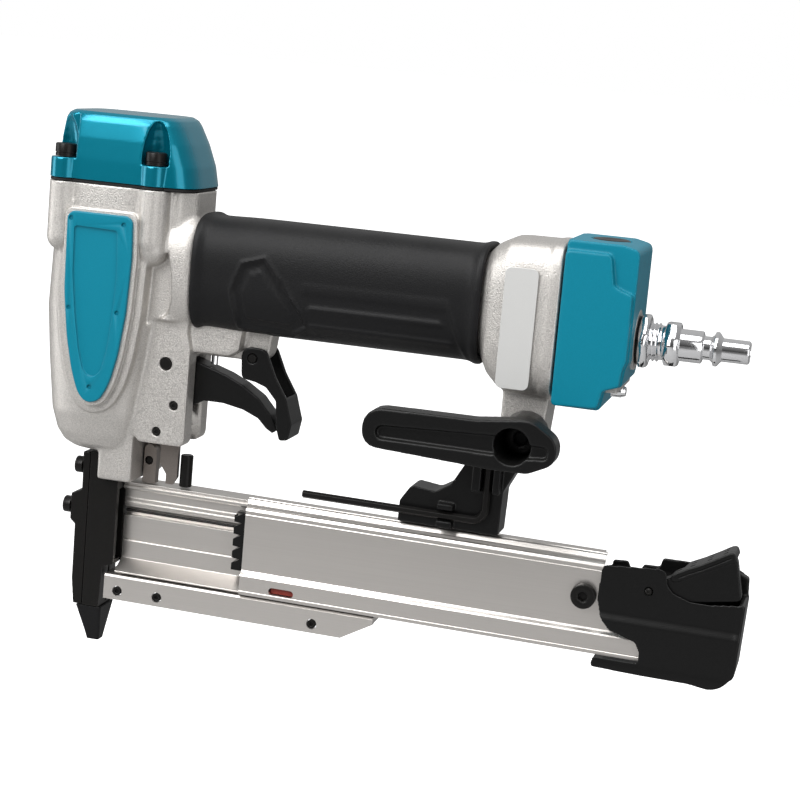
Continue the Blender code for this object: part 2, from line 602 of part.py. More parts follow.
def make_triggers(looks):
    """The trigger, the safety lever, their pins, the trigger valve and the magazine lockout."""
    outline = [(21.6, 104.0), (30.5, 93.0), (32.2, 91.2), (37.4, 94.0), (44.5, 94.0), (52.0, 92.6), (57.8, 90.2),
               (61.0, 87.0), (63.4, 85.6), (65.2, 87.0), (62.6, 91.8), (57.6, 97.4), (51.2, 101.4), (45.0, 104.2),
               (31.6, 108.4), (28.4, 110.0), (25.0, 111.0), (21.8, 109.2)]
    trigger = prism("trigger", outline, "Y", -4.4, 4.4, looks["black_plastic"])
    cut(trigger, rod("cut_trigger_bore", 2.2 + GAP, TRIGGER_PIVOT, "Y", -8, 8))
    cut(trigger, block("cut_trigger_web", (20, -2.4, 80), (31.8, 2.4, 103.4)))
    pivot_at(trigger, (TRIGGER_PIVOT[0], 0, TRIGGER_PIVOT[1]))
    for name, (x, z, radius) in CHEEK_PINS.items():
        rod(name, radius, (x, z), "Y", -11.9, 11.9, looks["black_oxide"], 14)

    arm = rounded([(50.6, 115.6), (51.4, 104.2), (56.6, 103.4), (60.6, 102.0), (64.6, 97.6), (65.2, 89.0),
                   (66.8, 83.8), (70.0, 84.2), (71.0, 90.0), (68.4, 98.6), (63.8, 106.0), (59.6, 115.4)],
                  [3.4, 2, 1, 1, 1.5, 1, 1, 1, 1, 2, 2, 3.4], 3)
    lever = prism("safety_lever", arm, "Y", -6.9, 6.9, looks["black_plastic"])
    cut(lever, block("cut_safety_fork", (45, -5.1, 80.0), (67.6, 5.1, 120)))
    cut(lever, block("cut_safety_fork_top", (60, -5.1, 99.0), (75, 5.1, 120)))
    cut(lever, rod("cut_safety_bore", 1.5 + GAP, SAFETY_PIVOT, "Y", -8, 8, None, 12))
    pivot_at(lever, (SAFETY_PIVOT[0], 0, SAFETY_PIVOT[1]))
    rod("safety_lever_pin", 1.5, SAFETY_PIVOT, "Y", -7.2, 7.2, looks["black_oxide"], 14)

    centre = (VALVE_X, 0)
    case = [(1.5, 110.4), (4.0, 110.4), (4.0, 126.0), (1.5, 126.0), (1.5, 124.5), (3.1, 124.5), (3.1, 113.0)]
    turned("trigger_valve_case", case + [(1.5, 113.0)], centre, "Z", looks["steel"], 16)
    stem = [(0, 106.9), (1.2, 106.9), (1.2, 113.3), (2.8, 113.3), (2.8, 115.6), (0, 115.6)]
    pivot_at(turned("trigger_valve_stem", stem, centre, "Z", looks["chrome"], 12), (VALVE_X, 0, 106.9))
    coil("trigger_valve_spring", 2.2, 0.35, centre, "Z", 115.9, 124.2, 4, looks["steel"])

    plate = rounded([(21.2, 96.5), (21.2, 68.6), (23.8, 64.8), (23.8, 61.3), (26.4, 61.3), (28.0, 64.0), (28.0, 79.0),
                     (31.2, 84.0), (31.2, 96.5)], [0, 1, 1, 0, 0, 1, 1, 1, 1])
    lockout = prism("lockout_lever", plate, "Y", -0.4, 1.6, looks["steel"])
    for name in ("lockout_pin_upper", "lockout_pin_lower"):
        x, z, radius = CHEEK_PINS[name]
        half = radius + GAP
        cut(lockout, block(f"cut_{name}_slot", (x - half, -3, z - half - 2.7), (x + half, 3, z + half)))
    pivot_at(lockout, (24.6, 0.6, 61.3))


# --- Nose ------------------------------------------------------------------------------------

def make_nose(looks):
    """The front plate, the driver guide behind it, their screws and the soft tip."""
    side = NOSE_HALF_WIDE
    front = [(-3.0, 70.4), (-5.7, 70.4), (-5.5, 56.2), (-9.4, 54.6), (-9.4, 45.0), (-7.5, 43.4), (-7.3, 22.5),
             (-6.3, 13.9), (-3.0, 13.9)]
    plate = prism("nose_front_plate", front, "Y", -side, side, looks["black_oxide"])
    rear = [(-2.7, 70.4), (-2.7, 13.9), (3.6, 13.9), (4.2, 29.1), (8.2, 30.4), (8.2, 61.7), (2.7, 61.7), (2.7, 70.4)]
    guide = prism("nose_rear_plate", rear, "Y", -side, side, looks["black_oxide"])
    fuse(guide, block("add_guide_tongue", (-1.2, -2.4, 3.0), (2.3, 2.4, 14.5)))
    cut(guide, block("cut_driver_channel", (DRIVE_X - 0.65, -1.05, 0), (DRIVE_X + 0.65, 1.05, 72)))
    cut(guide, block("cut_pin_entry", (DRIVE_X, -0.6, 14.6), (10, 0.6, 52)))
    cut(guide, block("cut_pusher_pocket", (3.2, -4.8, 31.8), (10, CHANNEL_Y, 58.0)))
    for name, (y, z) in NOSE_SCREWS.items():
        seat = -5.7 if z > 60 else -9.4
        end = 10.0 if z > 60 else 1.0
        head = [(0, seat - GAP - 2.8), (2.4, seat - GAP - 2.8), (3.0, seat - GAP - 2.2), (3.0, seat - GAP)]
        head += [(1.6, seat - GAP), (1.6, end), (0, end)]
        screw = turned(name, head, (y, z), "X", looks["black_oxide"], 12)
        cut(screw, prism(f"cut_{name}_socket", hexagon(2.5, (y, z)), "X", seat - 5, seat - 1.6))
        for holder in (plate, guide):
            cut(holder, rod(f"cut_{name}_{holder.name}", 1.9, (y, z), "X", -15, end + GAP, None, 12))
    rings = []
    for z, front_x, rear_x, half in ((0.0, -2.7, 2.9, 2.6), (3.0, -3.7, 3.4, 3.2), (TIP_TOP, -7.0, 4.9, 6.6)):
        rings.append([(x, y, z) for x, y in rounded(
            [(front_x, -half), (rear_x, -half), (rear_x, half), (front_x, half)], 0.8, 2)])
    tip = loft("nose_tip", rings, looks["black_rubber"], smooth=False)
    cut(tip, block("cut_tip_pocket", (-1.5, -2.7, 2.7), (2.6, 2.7, 20)))
    cut(tip, block("cut_tip_exit", (DRIVE_X - 0.5, -0.9, -2), (DRIVE_X + 0.6, 0.9, 5)))


# --- Magazine --------------------------------------------------------------------------------

def make_fixed_magazine(looks):
    """The rail that stays with the tool, its foot rail, hanger and screws."""
    section = [(-1.5, RAIL_TOP), (8.0, RAIL_TOP), (8.0, 57.4), (3.4, 56.6), (3.4, 32.0), (8.0, 30.6), (8.0, RAIL_LOW),
               (-5.4, RAIL_LOW), (-5.4, 27.8), (CHANNEL_Y, 31.2), (CHANNEL_Y, 48.0), (2.2, 48.0), (2.2, 50.8),
               (CHANNEL_Y, 50.8), (CHANNEL_Y, 57.6), (-1.5, 58.0)]
    rail = prism("magazine_rail", section, "X", RAIL_FRONT, RAIL_REAR, looks["extrusion"])
    rod("pusher_rod", 0.5, (1.4, 49.4), "X", 9.0, 183.0, looks["black_oxide"], 8)

    foot = [(-7.0, 17.6), (-7.0, 26.0), (-6.4, 26.6), (6.0, 27.0), (6.0, 24.6), (-4.8, 24.4), (-4.8, 17.6)]
    strip = prism("foot_rail", foot, "X", 5.4, 106.3, looks["extrusion"])
    corner = [(95.0, 10.0), (95.0, 17.6), (106.3, 24.2), (112.0, 24.2), (112.0, 10.0)]
    cut(strip, prism("cut_foot_end", corner, "Y", -12, 12))
    for number, x in enumerate((10.6, 25.8, 84.2), start=1):
        cut(strip, rod(f"cut_foot_screw_{number}", 1.9, (x, 20.9), "Y", -8, -3, None, 12))
        screw = turned(f"foot_rail_screw_{number}", [(0, -7.2), (1.6, -7.2), (1.6, -3.6), (0, -3.6)], (x, 20.9), "Y",
                       looks["black_oxide"], 12)
        cut(screw, prism(f"cut_foot_socket_{number}", hexagon(1.5, (x, 20.9)), "Y", -9, -6.2))

    hanger = rounded([(15.1, 75.0), (15.1, 62.6), (13.0, 62.4), (13.0, RAIL_TOP + GAP), (19.8, RAIL_TOP + GAP),
                      (19.8, 75.0)], [2, 0, 0, 0, 0, 3])
    made = prism("rail_hanger", hanger, "Y", -0.4, 3.2, looks["steel"])
    cut(made, rod("cut_hanger_bore", 1.6, (17.0, 69.0), "Y", -5, 5, None, 12))
    cut(made, block("cut_hanger_foot", (12, -4, 50), (14.8, 4, 66)))
    rod("rail_hanger_pin", 1.3, (17.0, 69.0), "Y", -0.2, 8.6, looks["black_oxide"], 12)
    low = RAIL_TOP + GAP
    rod("lockout_rod", 2.3, (30.6, 2.0), "Z", low, 72.4, looks["black_oxide"], 16)
    return rail


def make_bracket(looks):
    """The plastic bracket between rail and handle, with its key clip, and the hex key."""
    side = rounded([(111.6, 62.6), (111.8, 70.0), (115.5, 75.8), (124.0, 74.8), (129.4, 78.2), (133.0, 84.0),
                    (138.0, 91.7), (158.4, 91.7), (151.5, 84.6), (147.8, 78.0), (147.4, 62.6)],
                   [0.5, 2, 2, 3, 3, 3, 0, 0, 2, 2, 0.5])
    bracket = prism("hanger_bracket", side, "Y", -6.0, 6.4, looks["black_plastic"])
    fuse(bracket, block("add_bracket_foot", (113.0, -0.6, RAIL_TOP + GAP), (146.0, 6.0, 64.0)))
    clip_low = block("add_clip_low", (126.0, -9.4, 63.2), (131.5, -5.5, 65.6))
    clip_high = block("add_clip_high", (126.0, -9.4, 69.6), (131.5, -5.5, 71.6))
    socket_front = block("add_socket_front", (137.2, -9.8, 77.5), (140.4, -5.5, 86.0))
    socket_rear = block("add_socket_rear", (144.6, -9.8, 77.5), (147.2, -5.5, 86.0))
    fuse(bracket, clip_low, clip_high, socket_front, socket_rear)

    radius = 1.45
    bend = 4.0
    path = [(77.4, 67.4)]
    path += [(112.0, 67.4)]
    for k in range(5):
        angle = math.radians(-90 + 22.5 * k)
        path.append((142.5 - bend + bend * math.cos(angle), 67.4 + bend + bend * math.sin(angle)))
    path += [(142.5, 85.6)]
    rings = []
    for i, (x, z) in enumerate(path):
        before = Vector(path[max(i - 1, 0)])
        after = Vector(path[min(i + 1, len(path) - 1)])
        along = (after - before).normalized()
        ring = []
        for k in range(6):
            angle = math.pi / 3 * k
            across = radius * math.cos(angle)
            ring.append((x - along.y * across, -7.9 + radius * math.sin(angle), z + along.x * across))
        rings.append(ring)
    pivot_at(loft("hex_key", rings, looks["black_oxide"], smooth=False), (128.0, -7.9, 67.4))


def make_sliding_magazine(looks):
    """The side panel, end cap, latch, pins and pusher that slide back together."""
    section = [(-1.0, 61.9), (-3.7, 61.9), (PANEL_Y, 58.9), (PANEL_Y, 35.0), (-7.5, 34.0), (-7.5, 27.0), (-6.1, 27.0),
               (-6.1, 33.2), (-4.6, 34.2), (-4.6, 58.6), (-3.2, 60.8), (-1.0, 60.8)]
    panel = prism("magazine_cover", section, "X", PANEL_FRONT, 203.0, looks["extrusion"])
    cut(panel, block("cut_panel_rear", (196.0, -9, 35.5), (210, 2, 70)))
    window = rounded([(67.6, 29.0), (76.8, 29.0), (76.8, 31.6), (67.6, 31.6)], 1.2, 3)
    cut(panel, prism("cut_panel_window", window, "Y", -9, -5))
    cut(panel, rod("cut_stop_screw", 1.9, (179.2, 47.0), "Y", -9, -3, None, 12))
    head = [(0, -9.2), (3.6, -9.2), (4.3, -8.5), (4.3, PANEL_Y - GAP), (1.6, PANEL_Y - GAP), (1.6, -1.6), (0, -1.6)]
    stop = turned("stop_screw", head, (179.2, 47.0), "Y", looks["black_oxide"], 14)
    cut(stop, prism("cut_stop_socket", hexagon(3.0, (179.2, 47.0)), "Y", -12, -7.6))

    side = rounded([(184.8, 59.9), (183.6, 47.6), (185.8, 40.5), (189.6, 36.4), (196.0, 35.6), (198.8, 32.5),
                    (199.2, 29.6), (183.8, 29.4), (183.6, 23.9), (201.0, 23.4), (226.7, 21.2), (232.8, 27.5),
                    (MAGAZINE_REAR, 54.6), (223.5, 52.4), (216.0, 53.6), (213.0, 57.0), (211.0, 59.3)],
                   [1, 1, 2, 2, 2, 1, 0, 0, 1, 0, 8, 4, 1, 4, 3, 1, 1.5], 3)
    cap = prism("end_cap", side, "Y", CAP_NEAR, CAP_FAR, looks["black_plastic"])
    far_wall = block("add_cap_far_wall", (186.0, 8.8, 30.0), (231.0, CAP_FAR, 60.4))
    cheek = rounded([(226.0, 50.0), (233.6, 50.0), (233.2, 60.0), (229.0, 61.5)], 1.0)
    fuse(cap, far_wall, prism("add_cap_rear_far", cheek, "Y", 6.0, CAP_FAR))
    cut(cap, block("cut_cap_inside", (180, -8.3, 25.6), (231.6, 8.5, 75)))
    cut(cap, block("cut_cap_notch", (180, -12, 29.4), (183.9, 6, 35)))
    cut(cap, rod("cut_latch_pin_hole", 1.5, LATCH_PIVOT, "Y", -12, -7, None, 12))
    cut(cap, block("cut_cap_rear_slot", (228.5, -8.3, 54), (236, -2.0, 70)))

    arm = rounded([(197.6, 52.4), (201.2, 48.6), (212.0, 50.5), (225.0, 54.0), (230.8, 56.0), (229.9, 66.2),
                   (227.4, 69.2), (223.6, 65.2), (218.0, 60.8), (212.6, 59.2), (206.0, 56.6)],
                  [3, 3, 2, 2, 1, 1.5, 1, 3, 3, 1.5, 2], 3)
    latch = prism("latch", arm, "Y", -8.0, -1.9, looks["black_plastic"])
    pad = rounded([(221.0, 63.0), (223.6, 65.2), (227.4, 69.2), (229.9, 66.2), (229.6, 64.2), (226.0, 64.6),
                   (223.2, 62.8)], [0, 0, 1, 1, 1, 0, 0], 3)
    fuse(latch, prism("add_latch_pad", pad, "Y", -4.0, 7.6))
    cut(latch, rod("cut_latch_bore", 1.5, LATCH_PIVOT, "Y", -12, 2, None, 12))
    pivot_at(latch, (LATCH_PIVOT[0], 0, LATCH_PIVOT[1]))
    rod("latch_pin", 1.2, LATCH_PIVOT, "Y", -9.4, -2.2, looks["black_oxide"], 12)

    teeth = [(57.6, 57.0), (57.6, 35.0)]
    count = 5
    step = 4.4
    for k in range(count):
        base = 35.0 + k * step
        teeth += [(52.0, base), (52.0, base + 2.5), (54.9, base + 4.1)]
    teeth += [(52.6, 57.0)]
    pusher = prism("pusher", teeth, "Y", -4.2, 0.3, looks["black_plastic"])
    fuse(pusher, block("add_pusher_block", (57.0, -4.0, 33.0), (80.0, -0.9, 56.7)))
    arm = [(-3.0, 36.0), (-3.0, 31.0), (-5.6, 28.7), (-5.6, 32.2), (-4.2, 33.4)]
    fuse(pusher, prism("add_pusher_marker", arm, "X", 66.0, 79.0))
    return panel


# --- Belt hook -------------------------------------------------------------------------------

def make_belt_hook(looks):
    """The belt hook on the lug under the rear block, and its screw."""
    arm = rounded([(103.8, 92.2), (103.8, 105.4), (141.0, 105.6), (160.0, 107.8), (169.6, 101.5), (169.0, 94.0),
                   (160.5, 90.0), (148.4, 89.8)], [5.5, 6.5, 4, 8, 6, 5, 4, 4], 4)
    hook = prism("belt_hook", arm, "Y", HOOK_OUTER, HOOK_INNER, looks["black_plastic"])
    fuse(hook, rod("add_hook_boss", 8.2, HOOK_PIVOT, "Y", HOOK_INNER - 1, -LUG_HALF_WIDE - GAP, None, 16))
    cut(hook, rod("cut_hook_recess", 6.2, HOOK_PIVOT, "Y", HOOK_OUTER - 1, -16.0, None, 16))
    cut(hook, rod("cut_hook_hole", 2.3, HOOK_PIVOT, "Y", -20, -5, None, 12))
    long_slot = rounded([(108.6, 95.2), (108.6, 99.6), (150.0, 101.4), (150.0, 95.0)], 2.0)
    cut(hook, prism("cut_hook_long_slot", long_slot, "Y", HOOK_OUTER - 1, HOOK_OUTER + 2.0))
    short_slot = rounded([(158.0, 94.8), (158.0, 99.6), (166.6, 99.4), (166.6, 95.4)], 1.8)
    cut(hook, prism("cut_hook_short_slot", short_slot, "Y", HOOK_OUTER - 1, HOOK_OUTER + 2.0))
    pivot_at(hook, (HOOK_PIVOT[0], -LUG_HALF_WIDE, HOOK_PIVOT[1]))
    head = [(0, -20.5), (4.6, -20.5), (5.0, -20.0), (5.0, -16.3), (2.0, -16.3), (2.0, 3.4), (0, 3.4)]
    screw = turned("belt_hook_screw", head, HOOK_PIVOT, "Y", looks["black_oxide"], 14)
    cut(screw, prism("cut_hook_screw_socket", hexagon(4.0, HOOK_PIVOT), "Y", -24, -18.2))


def main():
    for old in list(bpy.data.objects):
        bpy.data.objects.remove(old, do_unlink=True)
    looks = make_materials()
    make_body(looks)
    make_cap(looks)
    make_drive(looks)
    make_grip(looks)
    make_rear(looks)
    make_badges(looks)
    make_triggers(looks)
    make_nose(looks)
    make_fixed_magazine(looks)
    make_bracket(looks)
    make_sliding_magazine(looks)
    make_belt_hook(looks)


main()
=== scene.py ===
"""Looks of a compact compressed-air pin nailer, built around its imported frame.

Lengths are millimetres along the frame's axes until a mesh is finished, which turns them into
metres. +X runs back along the handle, +Y to the tool's right side and +Z up through the head.
"""

import logging
import math
from collections.abc import Callable, Sequence
from dataclasses import dataclass, field
from enum import Enum

import bmesh
import bpy
from mathutils import Matrix, Vector


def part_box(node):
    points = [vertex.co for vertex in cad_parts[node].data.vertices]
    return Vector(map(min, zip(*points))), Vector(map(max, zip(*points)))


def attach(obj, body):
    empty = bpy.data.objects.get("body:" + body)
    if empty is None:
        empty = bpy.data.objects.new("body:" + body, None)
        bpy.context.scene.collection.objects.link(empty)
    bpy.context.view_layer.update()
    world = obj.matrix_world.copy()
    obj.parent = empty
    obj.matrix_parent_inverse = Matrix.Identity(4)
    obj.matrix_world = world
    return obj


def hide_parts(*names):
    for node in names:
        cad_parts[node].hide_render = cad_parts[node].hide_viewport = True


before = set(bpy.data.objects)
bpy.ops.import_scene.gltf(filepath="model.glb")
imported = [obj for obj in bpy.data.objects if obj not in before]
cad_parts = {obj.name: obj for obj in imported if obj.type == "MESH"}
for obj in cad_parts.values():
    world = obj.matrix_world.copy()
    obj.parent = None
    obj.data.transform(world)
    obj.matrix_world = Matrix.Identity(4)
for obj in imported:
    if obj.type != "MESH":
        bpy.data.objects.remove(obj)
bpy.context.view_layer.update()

MM = 0.001
ROUND = 64  # sides of a turned piece that shows
LOG = logging.getLogger("nailer")
Point = tuple[float, float]


# --- Places read from the frame --------------------------------------------------------------

@dataclass(frozen=True)
class Span:
    """The box of a frame node, in millimetres."""

    x0: float
    y0: float
    z0: float
    x1: float
    y1: float
    z1: float

    @classmethod
    def of(cls, node: str) -> "Span":
        """The box of a named node."""
        low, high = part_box(node)
        return cls(*(value / MM for value in (*low, *high)))

    @property
    def x(self) -> float:
        """Middle along X."""
        return (self.x0 + self.x1) / 2

    @property
    def y(self) -> float:
        """Middle along Y."""
        return (self.y0 + self.y1) / 2

    @property
    def z(self) -> float:
        """Middle along Z."""
        return (self.z0 + self.z1) / 2


class Axis(Enum):
    """The direction in which an outline is extruded or turned; the value orders (u, v, w)."""

    X = (2, 0, 1)
    Y = (0, 2, 1)
    Z = (0, 1, 2)

    def place(self, u: float, v: float, w: float) -> Vector:
        """A point from its two outline coordinates and its height along the axis."""
        given = (u, v, w)
        return Vector([given[index] for index in self.value])


# --- Meshes ----------------------------------------------------------------------------------

def finished(name: str, bm: bmesh.types.BMesh, sharp: float = 35.0) -> bpy.types.Object:
    """Turns a bmesh in millimetres into an object in metres.

    Args:
        name: the object's name.
        bm: the mesh, which is freed.
        sharp: the angle in degrees above which an edge stays sharp.

    Returns:
        The new object, smooth apart from its sharp edges.
    """
    bmesh.ops.recalc_face_normals(bm, faces=bm.faces)
    bmesh.ops.scale(bm, vec=(MM, MM, MM), verts=bm.verts)
    mesh = bpy.data.meshes.new(name)
    bm.to_mesh(mesh)
    bm.free()
    mesh.shade_smooth()
    mesh.set_sharp_from_angle(angle=math.radians(sharp))
    made = bpy.data.objects.new(name, mesh)
    bpy.context.scene.collection.objects.link(made)
    return made


def bridge(bm: bmesh.types.BMesh, first: list, second: list) -> None:
    """Side faces between two rings of the same length."""
    for i in range(len(first)):
        j = (i + 1) % len(first)
        bm.faces.new((first[i], first[j], second[j], second[i]))


def loft(name: str, rings: Sequence[Sequence[Vector]]) -> bpy.types.Object:
    """A closed skin over rings of points, with flat ends."""
    bm = bmesh.new()
    made = [[bm.verts.new(point) for point in ring] for ring in rings]
    for first, second in zip(made, made[1:]):
        bridge(bm, first, second)
    bm.faces.new(made[0])
    bm.faces.new(made[-1])
    return finished(name, bm)


def prism(name: str, outline: Sequence[Point], axis: Axis, low: float, high: float) -> bpy.types.Object:
    """An outline extruded along an axis from low to high."""
    return loft(name, [[axis.place(u, v, w) for u, v in outline] for w in (low, high)])


def block(name: str, low: Sequence[float], high: Sequence[float]) -> bpy.types.Object:
    """A box between two corners, used as a blank or a cutter."""
    outline = [(low[0], low[1]), (high[0], low[1]), (high[0], high[1]), (low[0], high[1])]
    return prism(name, outline, Axis.Z, low[2], high[2])


def turned(
    name: str, profile: Sequence[Point], centre: Point, axis: Axis, sides: int = ROUND
) -> bpy.types.Object:
    """A closed profile of (radius, height) revolved about an axis through centre."""
    bm = bmesh.new()
    rings = []
    for radius, height in profile:
        count = 1 if radius == 0 else sides
        ring = []
        for i in range(count):
            angle = 2 * math.pi * i / count
            u = centre[0] + radius * math.cos(angle)
            v = centre[1] + radius * math.sin(angle)
            ring.append(bm.verts.new(axis.place(u, v, height)))
        rings.append(ring)
    for first, second in zip(rings, rings[1:] + rings[:1]):
        if len(first) == 1 and len(second) == 1:
            continue
        for i in range(sides):
            j = (i + 1) % sides
            corners = [first[i % len(first)], first[j % len(first)]]
            corners += [second[j % len(second)], second[i % len(second)]]
            bm.faces.new(list(dict.fromkeys(corners)))
    return finished(name, bm)


def rod(name: str, radius: float, centre: Point, axis: Axis, low: float, high: float) -> bpy.types.Object:
    """A plain round blank or cutter."""
    return turned(name, [(0, low), (radius, low), (radius, high), (0, high)], centre, axis)


def ball(name: str, radius: float, centre: Sequence[float]) -> bpy.types.Object:
    """A sphere, used as a blank or a cutter."""
    steps = 12
    profile = []
    for k in range(steps + 1):
        angle = math.pi * k / steps
        across = 0 if k in (0, steps) else radius * math.sin(angle)
        profile.append((across, centre[2] - radius * math.cos(angle)))
    return turned(name, profile, (centre[0], centre[1]), Axis.Z, 24)


def hexagon(flats: float, centre: Point, turn: float = 0.0) -> list[Point]:
    """Corner points of a hexagon by its width over the flats."""
    radius = flats / math.sqrt(3)
    angles = [math.pi / 3 * i + turn for i in range(6)]
    return [(centre[0] + radius * math.cos(a), centre[1] + radius * math.sin(a)) for a in angles]


def superellipse(
    centre: Point, half_u: tuple[float, float], half_v: float, power: float, count: int = 120
) -> list[Point]:
    """Points of a rounded box outline whose two ends may reach differently."""
    points = []
    for i in range(count):
        angle = 2 * math.pi * (i + 0.5) / count
        c, s = math.cos(angle), math.sin(angle)
        reach = half_u[1] if c > 0 else half_u[0]
        u = centre[0] + reach * math.copysign(abs(c) ** (2 / power), c)
        v = centre[1] + half_v * math.copysign(abs(s) ** (2 / power), s)
        points.append((u, v))
    return points


def rounded(points: Sequence[Point], radii: float | Sequence[float], steps: int = 8) -> list[Point]:
    """An outline with arcs at its corners.

    Args:
        points: the corners in order.
        radii: one radius, or one for each corner; a radius is limited to what fits.
        steps: segments in each arc.

    Returns:
        The points of the rounded outline.
    """
    count = len(points)
    sizes = list(radii) if isinstance(radii, (list, tuple)) else [radii] * count
    result: list[Point] = []
    for i, corner in enumerate(points):
        here = Vector(corner)
        back = Vector(points[i - 1]) - here
        ahead = Vector(points[(i + 1) % count]) - here
        before, after = back.normalized(), ahead.normalized()
        half = before.angle(after) / 2
        room = 0.495 * min(back.length, ahead.length) * math.tan(half)
        size = min(sizes[i], room)
        if size <= 0 or half > math.radians(89.5):
            result.append(tuple(here))
            continue
        reach = size / math.tan(half)
        middle = here + (before + after).normalized() * size / math.sin(half)
        start = here + before * reach - middle
        turn = start.angle_signed(here + after * reach - middle)
        for k in range(steps + 1):
            angle = -turn * k / steps
            c, s = math.cos(angle), math.sin(angle)
            result.append((middle.x + start.x * c - start.y * s, middle.y + start.x * s + start.y * c))
    return result


def grown(points: Sequence[Point], growth: float) -> list[Point]:
    """A closed clockwise outline moved outwards by growth."""
    result = []
    for i, corner in enumerate(points):
        before = (Vector(points[i - 1]) - Vector(corner)).normalized()
        after = (Vector(points[(i + 1) % len(points)]) - Vector(corner)).normalized()
        along = (after - before).normalized()
        result.append((corner[0] - along.y * growth, corner[1] + along.x * growth))
    return result


def settle(piece: bpy.types.Object) -> bpy.types.Object:
    """Applies a piece's modifiers to its mesh."""
    bpy.context.view_layer.update()
    graph = bpy.context.evaluated_depsgraph_get()
    mesh = bpy.data.meshes.new_from_object(piece.evaluated_get(graph))
    piece.modifiers.clear()
    piece.data = mesh
    return piece


def discard(*pieces: bpy.types.Object) -> None:
    """Removes blanks and cutters that have been used."""
    for piece in pieces:
        bpy.data.objects.remove(piece, do_unlink=True)


def carve(piece: bpy.types.Object, *cutters: bpy.types.Object, how: str = "DIFFERENCE") -> bpy.types.Object:
    """Booleans each cutter into the piece and discards the cutters."""
    for cutter in cutters:
        change = piece.modifiers.new(cutter.name, "BOOLEAN")
        change.operation = how
        change.solver = "MANIFOLD"
        change.object = cutter
    settle(piece)
    discard(*cutters)
    return piece


def gathered(name: str, *parts: bpy.types.Object) -> bpy.types.Object:
    """One object that holds the meshes of several, which are discarded."""
    bm = bmesh.new()
    for part in parts:
        bm.from_mesh(part.data)
    mesh = bpy.data.meshes.new(name)
    bm.to_mesh(mesh)
    bm.free()
    made = bpy.data.objects.new(name, mesh)
    bpy.context.scene.collection.objects.link(made)
    discard(*parts)
    return made


def moulded(piece: bpy.types.Object, cell: float, passes: int, ease: float = 0.5) -> bpy.types.Object:
    """Fuses a piece's overlapping shapes into one skin with soft fillets, as a casting has.

    Args:
        piece: the object, changed in place.
        cell: the skin's mesh size in millimetres.
        passes: smoothing passes, which set how soft the edges are.
        ease: strength of each pass.

    Returns:
        The same object.
    """
    skin = piece.modifiers.new("skin", "REMESH")
    skin.mode = "VOXEL"
    skin.voxel_size = cell * MM
    skin.use_smooth_shade = True
    ease_by = piece.modifiers.new("ease", "SMOOTH")
    ease_by.factor = ease
    ease_by.iterations = passes
    settle(piece)
    piece.data.shade_smooth()
    return piece


def edged(piece: bpy.types.Object, width: float, segments: int = 3,
          limit: float = 32.0) -> bpy.types.Object:
    """Rounds a piece's sharp edges by a small bevel."""
    bevel = piece.modifiers.new("edge", "BEVEL")
    bevel.width = width * MM
    bevel.segments = segments
    bevel.limit_method = "ANGLE"
    bevel.angle_limit = math.radians(limit)
    bevel.harden_normals = True
    bevel.use_clamp_overlap = True
    piece.data.shade_smooth()
    return settle(piece)


def moved_points(piece: bpy.types.Object, move: Callable[[Vector], Vector]) -> bpy.types.Object:
    """Moves each vertex of a piece by a rule in millimetres."""
    for vertex in piece.data.vertices:
        vertex.co = move(vertex.co / MM) * MM
    piece.data.update()
    return piece


def from_frame(name: str, node: str) -> bpy.types.Object:
    """A welded copy of a frame node's own shape, to be refined into its finished piece."""
    bm = bmesh.new()
    bm.from_mesh(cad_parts[node].data)
    bmesh.ops.remove_doubles(bm, verts=bm.verts, dist=2e-6)
    bmesh.ops.dissolve_limit(bm, angle_limit=math.radians(0.6), verts=bm.verts, edges=bm.edges)
    bmesh.ops.recalc_face_normals(bm, faces=bm.faces)
    mesh = bpy.data.meshes.new(name)
    bm.to_mesh(mesh)
    bm.free()
    mesh.shade_smooth()
    mesh.set_sharp_from_angle(angle=math.radians(35))
    made = bpy.data.objects.new(name, mesh)
    bpy.context.scene.collection.objects.link(made)
    return made


# --- Shader groups ---------------------------------------------------------------------------

class Graph:
    """A short way to fill a node tree."""

    def __init__(self, tree: bpy.types.NodeTree) -> None:
        """Keeps the tree."""
        self.tree = tree

    def add(self, kind: str, **settings: object) -> bpy.types.Node:
        """Adds a node and sets its properties."""
        node = self.tree.nodes.new(kind)
        for name, value in settings.items():
            setattr(node, name, value)
        return node

    def link(self, output: bpy.types.NodeSocket, target: bpy.types.NodeSocket) -> None:
        """Joins two sockets."""
        self.tree.links.new(output, target)

    def maths(self, operation: str, *values: object, clamp: bool = False) -> bpy.types.NodeSocket:
        """A Math node over sockets and numbers; returns its output."""
        node = self.add("ShaderNodeMath", operation=operation, use_clamp=clamp)
        for socket, value in zip(node.inputs, values):
            if isinstance(value, (int, float)):
                socket.default_value = value
            else:
                self.link(value, socket)
        return node.outputs[0]

    def blend(self, factor: object, first: object, second: object) -> bpy.types.NodeSocket:
        """A colour mix over sockets and colours; returns its output."""
        node = self.add("ShaderNodeMix", data_type="RGBA")
        for index, value in ((0, factor), (6, first), (7, second)):
            if isinstance(value, bpy.types.NodeSocket):
                self.link(value, node.inputs[index])
            elif index:
                node.inputs[index].default_value = (*value, 1.0)
            else:
                node.inputs[index].default_value = value
        return node.outputs[2]


